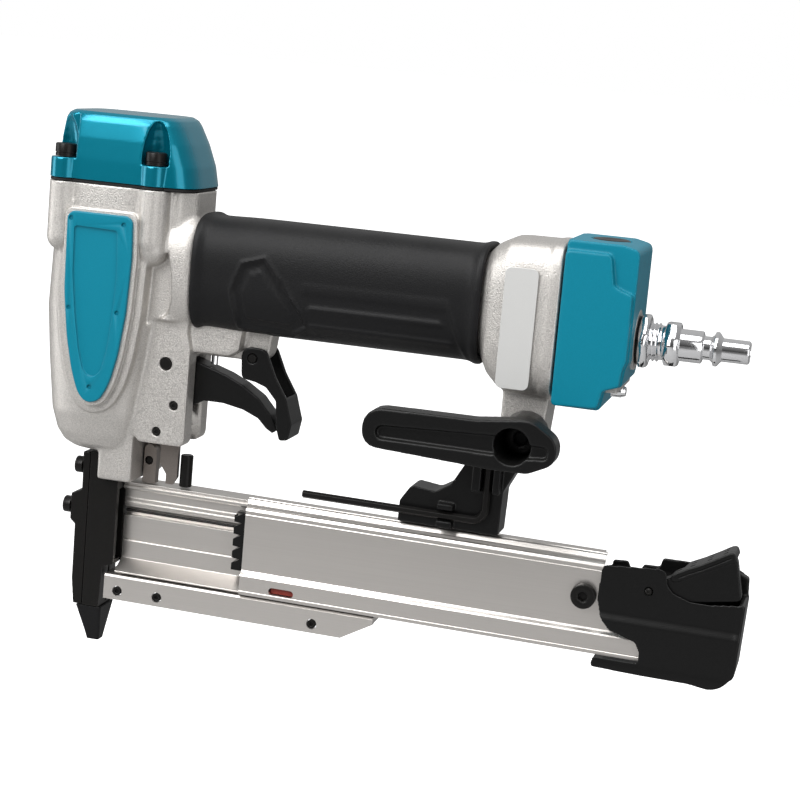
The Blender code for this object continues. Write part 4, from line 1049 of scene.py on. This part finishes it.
@dataclass
class Grip:
    """The elastomer sleeve on the handle, with its pressed pattern."""

    shield: tuple[Point, ...] = ((49.3, 135.7), (52.6, 145.0), (64.2, 148.6), (67.1, 143.2), (73.2, 130.8),
                                 (76.3, 127.0), (70.0, 123.0), (52.0, 124.0))
    ribs: tuple[tuple[Point, Point], ...] = (((74.9, 139.6), (124.3, 139.2)),
                                             ((77.6, 133.0), (122.6, 133.1)),
                                             ((77.4, 127.0), (126.0, 126.8)))
    rear_edge: tuple[Point, Point] = ((124.8, 139.2), (132.2, 121.8))

    def height(self, x: float, z: float) -> float:
        """Height of the pressed pattern over the plain sleeve."""
        depth = inside(x, z, self.shield)
        step = -0.65 * max(0.0, min(1.0, (depth + 0.4) / 0.8))
        step += 0.35 * max(0.0, min(1.0, (depth - 2.6) / 0.5))
        rise = 0.45 * math.exp(-(((depth + 0.9) / 0.7) ** 2))
        for rib in self.ribs:
            near = reach_to(x, z, rib)
            fall = 0.7 if z > rib[0][1] + (rib[1][1] - rib[0][1]) * 0.5 else 1.5
            rise = max(rise, 0.6 * math.exp(-((near / fall) ** 2)))
        rise = max(rise, 0.5 * math.exp(-((reach_to(x, z, self.rear_edge) / 0.8) ** 2)))
        return step + rise

    def ring(self, x: float, z: float, half_high: float, half_wide: float) -> list[Vector]:
        """One ring of the sleeve, with the pattern on its sides."""
        points = []
        for v, w in superellipse((0, z), (half_wide, half_wide), half_high, 3.2, 260):
            lean = Vector((v / half_wide ** 2, (w - z) / half_high ** 2)).normalized()
            side = max(0.0, min(1.0, (abs(lean.x) - 0.35) / 0.3))
            lift = self.height(x, w) * side
            points.append(Axis.X.place(v + lean.x * lift, w + lean.y * lift, x))
        return points

    def build(self, shop: Workshop) -> None:
        """Makes the sleeve as an open tube."""
        span = Span.of("grip_sleeve")
        high, wide = (span.z1 - span.z0) / 2, (span.y1 - span.y0) / 2
        rings = []
        count = 200
        for k in range(count + 1):
            x = span.x0 + (span.x1 - span.x0) * k / count
            front, rear = (x - span.x0), (span.x1 - x)
            shrink = 0.62 + 0.35 * math.exp(-((x - 38) / 9) ** 2)
            flare = 1.1 * (math.exp(-((front - 0.8) / 2.2) ** 2) + math.exp(-((rear - 0.8) / 2.4) ** 2))
            lip = 0.55 * (max(0.0, 1 - front / 0.8) ** 2 + max(0.0, 1 - rear / 0.8) ** 2)
            change = -shrink + min(flare, 0.9) - lip
            rings.append(self.ring(x, span.z, high + change, wide + change))
        sleeve = loft("grip_fine", rings)
        core = Casting()
        inner = [core.handle_ring(x, span.z, z, y) for x, z, y in (
            (span.x0 - 3, 19.9, 17.1), (span.x0 - 0.2, 19.7, 16.9), (span.x0 + 1.8, 17.3, 14.6),
            (span.x1 - 1.4, 17.3, 14.6), (span.x1 + 0.3, 19.5, 16.7), (span.x1 + 3, 19.9, 17.1))]
        slot = rounded([(29, -9.8), (29, 9.8), (62.4, 9.8), (62.4, -9.8)], [0, 0, 3, 3])
        carve(sleeve, loft("grip_inside", inner), prism("grip_slot", slot, Axis.Z, 112, 126.3))
        shop.hand_over(sleeve, Look.GRIP, "tool", "grip_sleeve")


# --- Rear end --------------------------------------------------------------------------------

@dataclass
class RearEnd:
    """The rear cover with its button, the inlet fitting, the air plug and the plain label."""

    pitch: float = 1.337
    nut_flats: float = 14.0
    fitting_flats: float = 17.0

    def cover(self, shop: Workshop) -> None:
        """The teal cover over the rear cap."""
        span = Span.of("rear_cover")
        middle = (Span.of("inlet_fitting").y, Span.of("inlet_fitting").z)
        side = rounded([(span.x0, span.z0), (span.x1 - 8.0, span.z0), (span.x1 - 6.8, 117.4),
                        (span.x1 - 1.6, 119.2),
                        (span.x1 - 0.9, 125.0), (span.x1, 127.6), (span.x1, span.z1 - 1.4),
                        (span.x1 - 6, span.z1),
                        (span.x0, span.z1)], [1.5, 1.6, 1, 1, 1, 1, 2.5, 2, 1.5])
        core = prism("cover_core", side, Axis.Y, span.y0 + 2.2, span.y1 - 2.2)
        plate = rounded([(span.x0, span.z0 + 0.3), (span.x1 - 8.6, span.z0 + 0.9), (span.x1 - 7.4, 117.4),
                         (span.x1 - 2.2, 119.4), (span.x1 - 1.6, 125.0), (span.x1 - 0.6, 127.8),
                         (span.x1 - 0.8, 149.8),
                         (span.x1 - 4.8, 151.2), (span.x1 - 7.2, 152.4), (span.x1 - 9.0, span.z1 - 3.4),
                         (span.x0, span.z1 - 3.4)], [1.5, 1.6, 1, 1, 1, 1, 1.4, 1.5, 1.5, 2.0, 1.5])
        plates = [prism("cover_side", plate, Axis.Y, *sorted((edge * 12, edge * span.y1))) for edge in (-1,
                                                                                                        1)]
        shoulder = rounded([(span.y0 + 1.1, 156), (span.y0 + 1.1, 160.6), (span.y0 + 3.6, span.z1),
                            (span.y1 - 3.6, span.z1),
                            (span.y1 - 1.1, 160.6), (span.y1 - 1.1, 156)], [0, 2, 2, 2, 2, 0])
        top = prism("cover_top", shoulder, Axis.X, span.x0, span.x1 - 9.2)
        made = gathered("rear_cover_fine", core, *plates, top)
        moulded(made, 0.36, 5)
        button = Span.of("duster_button")
        nozzle = Span.of("duster_nozzle")
        carve(made, block("cover_inside", (160, -16.4, 116.5), (184.5, 16.4, 163.2)),
              block("cover_front", (150, -30, 100), (span.x0, 30, 180)),
              rod("cover_inlet", 8.4, middle, Axis.X, 180, 190),
              rod("cover_button", (button.x1 - button.x0) / 2 + 0.3, (button.x, 0), Axis.Z, 160, 170),
              rod("cover_nozzle", 2.5, (nozzle.y, nozzle.z), Axis.X, 170.6, 190))
        shop.hand_over(made, Look.TEAL_SATIN, "tool", "rear_cover")

    def inlet(self, shop: Workshop) -> None:
        """The hexagon fitting, the seal behind it and the threaded plug."""
        fit = Span.of("inlet_fitting")
        centre = (fit.y, fit.z)
        body = hex_nut("inlet_fitting_fine", self.fitting_flats, centre, fit.x1 - 3.2, fit.x1)
        spigot = rod("spigot", 7.1, centre, Axis.X, fit.x0, fit.x1 - 2.4)
        carve(body, spigot, how="UNION")
        carve(body, rod("fit_bore", 6.9, centre, Axis.X, fit.x1 - 7.4, fit.x1 + 4),
              rod("fit_way", 4, centre, Axis.X, 170, 185))
        shop.hand_over(body, Look.CHROME, "tool", "inlet_fitting")
        plug = Span.of("air_plug")
        start, end = plug.x0, plug.x1
        nut = end - 28.3
        profile = [(2.5, start), (6.3, start)]
        turns = int((nut - 0.4 - start) / self.pitch)
        for k in range(turns):
            here = start + 0.3 + k * self.pitch
            profile += [(6.55, here + 0.35), (6.55, here + 0.55), (5.85, here + self.pitch * 0.86)]
        profile += [(5.8, nut + 0.2), (5.8, nut + 4.0), (5.45, nut + 5.2), (5.45, nut + 12.2),
                    (5.25, nut + 12.5),
                    (4.05, nut + 12.9), (3.95, nut + 13.2), (3.95, nut + 15.2), (4.6, nut + 16.0),
                    (5.6, nut + 16.4),
                    (5.8, nut + 16.7), (5.8, nut + 17.5), (5.5, nut + 17.9), (4.4, nut + 18.7),
                    (3.95, nut + 19.2),
                    (3.95, end - 0.7), (3.75, end - 0.25), (3.3, end), (2.7, end), (2.5, end - 0.3)]
        made = turned("air_plug_fine", profile, centre, Axis.X, 96)
        grip = hex_nut("plug_nut", self.nut_flats, centre, nut, nut + 4.9)
        carve(grip, rod("nut_bore", 4, centre, Axis.X, 150, 260))
        carve(made, grip, how="UNION")
        shop.hand_over(made, Look.CHROME, "tool", "air_plug")
        seal = Span.of("inlet_seal")
        ring = [(7.3, seal.x0), (8.0, seal.x0), (8.2, seal.x), (8.0, seal.x1), (7.3, seal.x1)]
        shop.hand_over(turned("inlet_seal_fine", ring, centre, Axis.X), Look.SEAL, "tool", "inlet_seal")

    def small_parts(self, shop: Workshop) -> None:
        """The button, the nozzle, the rear cap and the plain label."""
        button = Span.of("duster_button")
        radius = (button.x1 - button.x0) / 2
        dish = [(0, button.z0), (radius, button.z0), (radius, button.z1 - 0.9),
                (radius - 0.25, button.z1 - 0.3),
                (radius - 0.9, button.z1), (radius - 1.6, button.z1 - 0.05),
                (radius * 0.5, button.z1 - 0.35),
                (0, button.z1 - 0.45)]
        made = turned("duster_button_fine", dish, (button.x, button.y), Axis.Z)
        shop.hand_over(made, Look.BLACK, "duster_button", "duster_button")
        nozzle = Span.of("duster_nozzle")
        tube = [(0.9, nozzle.x0), (2.2, nozzle.x0), (2.2, nozzle.x1 - 1.6), (2.0, nozzle.x1 - 1.2),
                (1.6, nozzle.x1 - 0.1),
                (1.4, nozzle.x1), (0.9, nozzle.x1)]
        made = turned("duster_nozzle_fine", tube, (nozzle.y, nozzle.z), Axis.X)
        shop.hand_over(made, Look.CHROME, "tool", "duster_nozzle")
        shop.hand_over(edged(from_frame("rear_cap_fine", "rear_cap"), 0.4), Look.CAST, "tool", "rear_cap")
        label = Span.of("rear_label")
        outline = rounded([(label.x0, label.z1), (label.x1, label.z1), (label.x1, label.z0),
                           (label.x0, label.z0)], 2.2, 8)
        made = edged(prism("rear_label_fine", outline, Axis.Y, label.y0 + 0.1, label.y1), 0.12, 2)
        shop.hand_over(made, Look.LABEL, "tool", "rear_label")

    def build(self, shop: Workshop) -> None:
        """Makes the whole rear end."""
        self.cover(shop)
        self.inlet(shop)
        self.small_parts(shop)


# --- Triggers and nose -----------------------------------------------------------------------

@dataclass
class Moulding:
    """A piece refined from its frame node's own shape."""

    node: str
    look: Look
    body: str = "tool"
    cell: float = 0.3
    passes: int = 5

    def build(self, shop: Workshop) -> bpy.types.Object:
        """Skins the node's shape with soft fillets and hands it over."""
        made = moulded(from_frame(f"{self.node}_fine", self.node), self.cell, self.passes)
        return shop.hand_over(made, self.look, self.body, self.node)


@dataclass
class Machined:
    """A piece with crisp bevelled edges, refined from its frame node's own shape."""

    node: str
    look: Look
    body: str = "tool"
    bevel: float = 0.25
    segments: int = 3

    def build(self, shop: Workshop) -> bpy.types.Object:
        """Bevels the node's shape and hands it over."""
        made = edged(from_frame(f"{self.node}_fine", self.node), self.bevel, self.segments)
        return shop.hand_over(made, self.look, self.body, self.node)


@dataclass
class FiringControls:
    """The trigger, the safety lever, the magazine lockout and their pins."""

    def build(self, shop: Workshop) -> None:
        """Makes the controls under the handle."""
        Moulding("trigger", Look.BLACK, "trigger", 0.28, 6).build(shop)
        Moulding("safety_lever", Look.BLACK, "safety_lever", 0.28, 5).build(shop)
        Machined("lockout_lever", Look.STEEL, "lockout_lever", 0.2).build(shop)
        round_pin(shop, "trigger_pin", Axis.Y, 0.0, Look.OXIDE)
        for node in ("lockout_pin_upper", "lockout_pin_lower"):
            round_pin(shop, node, Axis.Y, 0.8, Look.OXIDE)
        round_pin(shop, "safety_lever_pin", Axis.Y, 0.0, Look.OXIDE)
        round_pin(shop, "lockout_rod", Axis.Z, 0.0, Look.OXIDE)


@dataclass
class Nose:
    """The nose plates, their screws and the soft tip."""

    def build(self, shop: Workshop) -> None:
        """Makes the nose."""
        Moulding("nose_front_plate", Look.OXIDE, "tool", 0.28, 6).build(shop)
        rear = from_frame("nose_rear_plate_fine", "nose_rear_plate")
        carve(rear, block("nose_tab", (-2.6, -6.7, 52.0), (1.4, 6.7, 70.9)), how="UNION")
        shop.hand_over(edged(rear, 0.35), Look.OXIDE, "tool", "nose_rear_plate")
        tip = moulded(from_frame("nose_tip_fine", "nose_tip"), 0.22, 4)

        def narrowed(point: Vector) -> Vector:
            """Draws the tip in towards the driver's line."""
            point.x = 2.0 + (point.x - 2.0) * 0.82
            return point

        blade = Span.of("driver_blade")
        clearance = 0.4
        below_tip, above_tip = -2.0, 40.0
        way = block("blade_way", (blade.x0 - clearance, blade.y0 - clearance, below_tip),
                    (blade.x1 + clearance, blade.y1 + clearance, above_tip))
        carve(moved_points(tip, narrowed), way)
        shop.hand_over(tip, Look.GRIP, "tool", "nose_tip")
        for node in ("nose_screw_upper", "nose_screw_lower"):
            SocketScrew(node, Axis.X, 3.0, 2.8, 1.6, 2.5).build(shop)


# --- Magazine --------------------------------------------------------------------------------

@dataclass
class FixedMagazine:
    """The rail, foot rail and hanger that stay with the tool."""

    def rail(self, shop: Workshop) -> None:
        """The drawn rail that the pins lie against."""
        span = Span.of("magazine_rail")
        low, top, far, near = span.z0, span.z1, span.y1, span.y0
        face = 0.6
        section = [(-1.5, top), (far, top), (far, top - 3.0), (3.4, top - 3.8), (3.4, low + 4.7),
                   (far, low + 3.3),
                   (far, low), (near, low), (near, low + 0.5), (near + 1.2, low + 1.3),
                   (face - 1.4, low + 3.4),
                   (face, low + 4.4), (face, 38.1), (face + 0.28, 38.3), (face + 0.28, 38.7), (face, 38.9),
                   (face, 47.6), (3.0, 47.6), (3.0, 50.9), (face, 50.9), (face, 51.5), (face - 0.35, 51.7),
                   (face - 0.35, 52.6), (face, 52.8), (face, 53.5), (face - 0.25, 53.65),
                   (face - 0.25, 54.2),
                   (face, 54.35), (face, 57.2), (0.1, 57.6), (-1.2, 57.7), (-1.5, 58.0), (-1.5, 59.0),
                   (-1.1, 59.2),
                   (-1.1, 59.6), (-1.5, 59.8)]
        made = prism("magazine_rail_fine", section, Axis.X, span.x0, span.x1)
        shop.hand_over(edged(made, 0.10, 2, 25), Look.EXTRUSION, "tool", "magazine_rail")

    def build(self, shop: Workshop) -> None:
        """Makes the fixed side of the magazine."""
        self.rail(shop)
        Machined("foot_rail", Look.EXTRUSION, "tool", 0.18).build(shop)
        for number in (1, 2, 3):
            SocketScrew(f"foot_rail_screw_{number}", Axis.Y, 1.6, 1.2, 1.5, 1.5).build(shop)
        Machined("rail_hanger", Look.STEEL, "tool", 0.3).build(shop)
        round_pin(shop, "rail_hanger_pin", Axis.Y, 0.0, Look.OXIDE)
        round_pin(shop, "pusher_rod", Axis.X, 0.0, Look.OXIDE)
        Moulding("hanger_bracket", Look.BLACK, "tool", 0.3, 12).build(shop)
        self.hex_key(shop)

    def hex_key(self, shop: Workshop) -> None:
        """The hexagon key in its clips, bent through a smooth quarter turn."""
        span = Span.of("hex_key")
        half = (span.y1 - span.y0) / 2
        bend, flat = 4.5, 1.42
        long_z, short_x = span.z0 + flat, span.x1 - flat
        path = [(span.x0, long_z), (span.x0 + 0.3, long_z)]
        for k in range(13):
            angle = math.radians(-90 + 7.5 * k)
            path.append((short_x - bend + bend * math.cos(angle), long_z + bend + bend * math.sin(angle)))
        path += [(short_x, span.z1 - 0.3), (short_x, span.z1)]
        rings = []
        for i, point in enumerate(path):
            run = (Vector(path[min(i + 1, len(path) - 1)]) - Vector(path[max(i - 1, 0)])).normalized()
            size = 0.8 if i in (0, len(path) - 1) else 1.0
            ring = []
            for corner in range(6):
                angle = math.pi / 3 * corner
                across = flat * math.cos(angle) * size
                ring.append(Axis.Y.place(point[0] - run.y * across, point[1] + run.x * across,
                                         span.y + half * math.sin(angle) * size / 0.87 * 0.87))
            rings.append(ring)
        made = edged(loft("hex_key_fine", rings), 0.12, 2, 40)
        shop.hand_over(made, Look.OXIDE, "hex_key", "hex_key")


@dataclass
class SlidingMagazine:
    """The cover, end cap, latch and pusher that slide back together."""

    dimple_rows: int = 3
    dimple_columns: int = 4

    def cover(self, shop: Workshop) -> None:
        """The drawn side cover with its gauge window."""
        span = Span.of("magazine_cover")
        outer, band, top, low = -6.0, span.y0, span.z1, span.z0 + 0.4
        section = [(-1.0, top), (-2.6, top), (-2.8, top - 0.25), (-3.3, top - 0.25), (-3.7, top - 0.5),
                   (-4.5, top - 1.9),
                   (-4.9, top - 2.1), (-5.0, top - 2.9), (-5.6, top - 3.3), (outer, top - 4.2),
                   (outer, top - 5.4),
                   (outer + 0.12, top - 5.6), (outer, top - 5.8), (outer, low + 8.6),
                   (outer - 0.3, low + 8.0),
                   (band + 0.3, low + 7.3), (band, low + 6.8), (band, low + 1.6), (band + 0.15, low + 1.4),
                   (band, low + 1.2),
                   (band, low), (-6.1, low), (-6.1, low + 6.2), (-4.6, low + 7.2), (-4.6, top - 3.3),
                   (-3.2, top - 0.8),
                   (-1.0, top - 0.8)]
        made = prism("magazine_cover_fine", section, Axis.X, span.x0, span.x1)
        window = rounded([(67.6, 29.0), (76.8, 29.0), (76.8, 31.6), (67.6, 31.6)], 1.28, 8)
        stop = Span.of("stop_screw")
        carve(made, block("cover_rear", (196.0, -9, 35.5), (210, 2, 70)),
              block("cover_shoulder", (185.2, -9, 47.0), (200, 2, 70)),
              prism("window", window, Axis.Y, -9, -5),
              rod("stop_hole", 1.9, (stop.x, stop.z), Axis.Y, -9, -3))
        shop.hand_over(edged(made, 0.08, 2, 20), Look.EXTRUSION, "magazine", "magazine_cover")
        gauge = prism("pin_gauge", rounded([(67.9, 29.2), (76.4, 29.2), (76.4, 31.2), (67.9, 31.2)], 0.4),
                      Axis.Y, -5.9, -5.5)
        shop.hand_over(edged(gauge, 0.1), Look.GAUGE, "pusher")
        SocketScrew("stop_screw", Axis.Y, 4.3, 2.9, 1.6, 3.0, True).build(shop, "magazine")

    def end_cap(self, shop: Workshop) -> None:
        """The moulded end cap, its lower half swelling outwards below a soft crease."""
        span = Span.of("end_cap")
        near, far, end = span.y0 + 0.9, span.y1, span.x1
        side = rounded([(184.8, 59.2), (183.9, 47.6), (185.6, 41.0), (189.0, 37.0), (194.5, 35.4),
                        (198.4, 34.2),
                        (200.0, 31.0), (200.0, 27.4), (184.4, 27.0), (184.2, 23.4), (201.0, 22.9),
                        (218.0, 22.8),
                        (227.0, span.z0), (end - 1.0, 27.5), (end, 52.8), (222.4, 51.2), (215.0, 51.2),
                        (209.6, 53.0),
                        (207.4, 55.6), (206.6, 59.9), (204.0, 60.9)],
                       [1.5, 1, 3, 3, 2, 2.5, 2, 0.4, 0.8, 1, 1, 1, 8, 4, 1.2, 6, 6, 4, 2, 2.2, 1])
        made = prism("end_cap_core", side, Axis.Y, near, far)
        carve(made, block("cap_inside", (180, -8.3, 25.6), (231.6, 8.5, 75)),
              block("cap_notch", (180, -12, 27.3), (183.9, 6, 35)),
              block("rear_slot", (228.5, -8.3, 54), (236, -2, 70)),
              block("far_open", (170, 5, 55.0), (240, 12, 75)))
        wall = rounded([(186, 30), (186, 57.2), (191.4, 57.5), (192.4, 55.2), (196.0, 55.2), (196.8, 57.1),
                        (202.4, 57.3),
                        (203.2, 60.4), (229.0, 60.5), (231.4, 59.4), (231.4, 30)],
                        [0, 1, 1, 0.5, 0.5, 1, 0.5, 1, 1, 1, 0])
        cheek = rounded([(226.0, 50.0), (end - 0.3, 50.0), (end - 0.7, 58.4), (229.0, 60.2)], 1.0)
        made = gathered("end_cap_fine", made, prism("far_wall", wall, Axis.Y, far - 1.5, far),
                        prism("rear_cheek", cheek, Axis.Y, 6.0, far))
        moulded(made, 0.38, 5)
        pin = Span.of("latch_pin")
        carve(made, rod("pin_seat", 1.5, (pin.x, pin.z), Axis.Y, -12, -7))

        def swell(point: Vector) -> Vector:
            """Pushes the near face out below the crease."""
            if point.y < near + 0.8:
                rise = max(0.0, min(1.0, (43.4 - point.z) / 3.6))
                point.y -= (near - span.y0) * rise * rise * (3 - 2 * rise)
            return point

        shop.hand_over(moved_points(made, swell), Look.BLACK, "magazine", "end_cap")
        round_pin(shop, "latch_pin", Axis.Y, 0.5, Look.OXIDE, "magazine")

    def latch(self, shop: Workshop) -> None:
        """The latch with its dished thumb pad and dimples."""
        span = Span.of("latch")
        top = [(208.0, 58.7), (209.6, 60.0), (213.0, 61.9), (217.6, 64.2), (222.4, 67.0), (226.4, 69.5),
               (228.2, 69.9)]
        under = [(229.4, 67.0), (226.8, 66.1), (221.6, 63.3), (216.6, 60.8), (210.6, 57.2), (208.4, 56.8)]
        pad = prism("pad", rounded(top + under, [1, 6, 30, 30, 30, 4, 1.2, 1, 8, 8, 8, 8, 1]), Axis.Y,
                    span.y0, span.y1)
        lever = rounded([(197.8, 52.4), (201.2, 48.8), (212.0, 49.8), (232.2, 53.6), (229.4, 67.0),
                         (226.8, 68.3),
                         (221.4, 65.6), (215.6, 62.3), (209.8, 59.2), (206.6, 57.4), (203.0, 56.6)],
                        [3, 3, 2, 1.5, 1.5, 2, 5, 5, 5, 3, 3])
        made = gathered("latch_fine", prism("lever", lever, Axis.Y, span.y0 + 0.5, -1.9), pad)
        moulded(made, 0.28, 4)

        def leaned(point: Vector) -> Vector:
            """Slopes the pad down towards its far side."""
            point.z -= 0.06 * max(0.0, point.y + 4.0) * max(0.0, min(1.0, (point.z - 56.0) / 3.0))
            return point

        moved_points(made, leaned)
        pin = Span.of("latch_pin")
        carve(made, rod("pin_bore", 1.5, (pin.x, pin.z), Axis.Y, -12, 2),
              block("rail_way", (190, -1.9, 40), (240, 12, Span.of("magazine_rail").z1 + 0.7)))
        cuts = []
        for column in range(self.dimple_columns):
            part = 1.2 + column * 1.15
            index = int(part)
            x = top[index][0] + (top[index + 1][0] - top[index][0]) * (part - index)
            z = top[index][1] + (top[index + 1][1] - top[index][1]) * (part - index)
            for row in range(self.dimple_rows):
                y = span.y0 + 3.4 + row * (span.y1 - span.y0 - 6.0) / (self.dimple_rows - 1)
                cuts.append(ball("dimple", 0.95, (x, y, z + 0.1 - 0.06 * max(0.0, y + 4.0))))
        line = top[1:-1]
        groove = [(x + 0.8, z - 1.2) for x, z in line] + [(x + 1.05, z - 1.6) for x, z in reversed(line)]
        cuts.append(prism("bead", groove, Axis.Y, span.y0 - 2, span.y0 + 0.3))
        carve(made, *cuts)
        shop.hand_over(made, Look.BLACK, "latch", "latch")

    def build(self, shop: Workshop) -> None:
        """Makes the sliding side of the magazine."""
        self.cover(shop)
        self.end_cap(shop)
        self.latch(shop)
        pusher = edged(from_frame("pusher_fine", "pusher"), 0.2, 2)

        def lowered(point: Vector) -> Vector:
            """Keeps the pusher's top clear of the rail's lip."""
            point.z -= 0.9 if point.z > 55.0 else 0.0
            return point

        shop.hand_over(moved_points(pusher, lowered), Look.BLACK, "pusher", "pusher")


@dataclass
class BeltHook:
    """The belt hook and its screw."""

    def build(self, shop: Workshop) -> None:
        """Makes the hook."""
        Moulding("belt_hook", Look.BLACK, "belt_hook", 0.36, 11).build(shop)
        SocketScrew("belt_hook_screw", Axis.Y, 5.0, 4.2, 2.0, 4.0).build(shop)


@dataclass
class InnerParts:
    """The working parts inside the head and handle, kept in the frame's own shapes."""

    finishes: tuple[tuple[str, Look], ...] = (
        ("cylinder_sleeve", Look.STEEL), ("piston", Look.STEEL), ("piston_ring", Look.SEAL),
        ("driver_blade", Look.STEEL),
        ("bumper", Look.SEAL), ("head_valve", Look.POPPET), ("head_valve_spring", Look.STEEL),
        ("trigger_valve_case", Look.STEEL), ("trigger_valve_stem", Look.CHROME),
        ("trigger_valve_spring", Look.STEEL),
        ("duster_spring", Look.STEEL))

    def build(self, shop: Workshop) -> None:
        """Dresses every inner node."""
        for node, look in self.finishes:
            shop.dress(node, look)


# --- Studio ----------------------------------------------------------------------------------

@dataclass
class Studio:
    """A plain pale floor, soft lights and the camera."""

    azimuth: float = 13.3
    elevation: float = 9.8
    roll: float = 5.1
    lens: float = 91.575
    eye: tuple[float, float, float] = (0.26769, -0.67788, 0.22290)
    floor_z: float = -0.16

    def camera(self) -> None:
        """Creates the camera."""
        a, e, r = (math.radians(value) for value in (self.azimuth, self.elevation, self.roll))
        back = Vector((math.sin(a) * math.cos(e), -math.cos(a) * math.cos(e), math.sin(e)))
        right = Vector((math.cos(a), math.sin(a), 0))
        up = right.cross(-back)
        across = right * math.cos(r) + up * math.sin(r)
        upward = up * math.cos(r) - right * math.sin(r)
        data = bpy.data.cameras.new("camera")
        data.lens = self.lens
        data.sensor_width = 36.0
        data.clip_start = 0.01
        made = bpy.data.objects.new("camera", data)
        turn = Matrix((across, upward, back)).transposed().to_4x4()
        made.matrix_world = Matrix.Translation(self.eye) @ turn
        bpy.context.scene.collection.objects.link(made)
        bpy.context.scene.camera = made

    def floor(self) -> None:
        """Lays the floor, a little brighter to the eye than to the object."""
        bm = bmesh.new()
        bmesh.ops.create_grid(bm, x_segments=2, y_segments=2, size=30)
        mesh = bpy.data.meshes.new("floor")
        bm.to_mesh(mesh)
        bm.free()
        made = bpy.data.objects.new("floor", mesh)
        made.location.z = self.floor_z
        bpy.context.scene.collection.objects.link(made)
        look = bpy.data.materials.new("floor_paper")
        look.use_nodes = True
        shader = look.node_tree.nodes["Principled BSDF"]
        shader.inputs["Roughness"].default_value = 1.0
        shader.inputs["Emission Color"].default_value = (1, 1, 1, 1)
        graph = Graph(look.node_tree)
        path = graph.add("ShaderNodeLightPath")
        graph.link(path.outputs["Is Camera Ray"], shader.inputs["Emission Strength"])
        seen = graph.blend(path.outputs["Is Camera Ray"], (0.42, 0.42, 0.42), (0.8, 0.8, 0.8))
        graph.link(seen, shader.inputs["Base Color"])
        mesh.materials.append(look)

    def lamp(self, name: str, place: Sequence[float], size: tuple[float, float], power: float) -> None:
        """An area lamp that looks at the middle of the tool."""
        data = bpy.data.lights.new(name, "AREA")
        data.shape = "RECTANGLE"
        data.size, data.size_y = size
        data.energy = power
        made = bpy.data.objects.new(name, data)
        aim = Vector((0.09, 0.0, 0.10)) - Vector(place)
        made.rotation_mode = "QUATERNION"
        made.rotation_quaternion = aim.to_track_quat("-Z", "Y")
        made.location = place
        bpy.context.scene.collection.objects.link(made)

    def surroundings(self) -> None:
        """White to the eye; to the object pale above and behind, dim in front."""
        world = bpy.data.worlds.new("studio")
        bpy.context.scene.world = world
        world.use_nodes = True
        graph = Graph(world.node_tree)
        shader = world.node_tree.nodes["Background"]
        shader.inputs["Color"].default_value = (1, 1, 1, 1)
        place = graph.add("ShaderNodeTexCoord")
        parts = graph.add("ShaderNodeSeparateXYZ")
        graph.link(place.outputs["Generated"], parts.inputs[0])
        up = graph.maths("MULTIPLY_ADD", parts.outputs[2], 0.25, 0.18)
        front = graph.maths("MULTIPLY_ADD", parts.outputs[1], 0.18, 0.04)
        light = graph.maths("MAXIMUM", graph.maths("ADD", up, front), 0.05)
        path = graph.add("ShaderNodeLightPath")
        graph.link(graph.maths("MAXIMUM", light, path.outputs["Is Camera Ray"]), shader.inputs["Strength"])

    def build(self) -> None:
        """Sets up the studio."""
        bpy.context.scene.view_settings.view_transform = "Standard"
        self.surroundings()
        self.floor()
        self.lamp("key", (-0.30, -0.75, 0.62), (0.55, 0.55), 7.5)
        self.lamp("fill", (0.75, -0.60, 0.25), (0.5, 0.8), 2.5)
        self.lamp("top", (0.10, -0.30, 0.85), (0.9, 0.5), 6.0)
        self.lamp("low_left", (-0.65, -0.15, 0.15), (0.3, 0.7), 2.0)
        self.camera()


def main() -> None:
    """Builds every sub-assembly in order."""
    logging.basicConfig(level=logging.INFO, format="%(message)s")
    shop = Workshop()
    shop.prepare()
    casting = Casting()
    casting.build(shop)
    Cap(casting).build(shop)
    Badges(casting).build(shop)
    Grip().build(shop)
    RearEnd().build(shop)
    FiringControls().build(shop)
    Nose().build(shop)
    FixedMagazine().build(shop)
    SlidingMagazine().build(shop)
    BeltHook().build(shop)
    InnerParts().build(shop)
    Studio().build()
    LOG.info("%d pieces", shop.count)


if __name__ == "__main__":
    main()
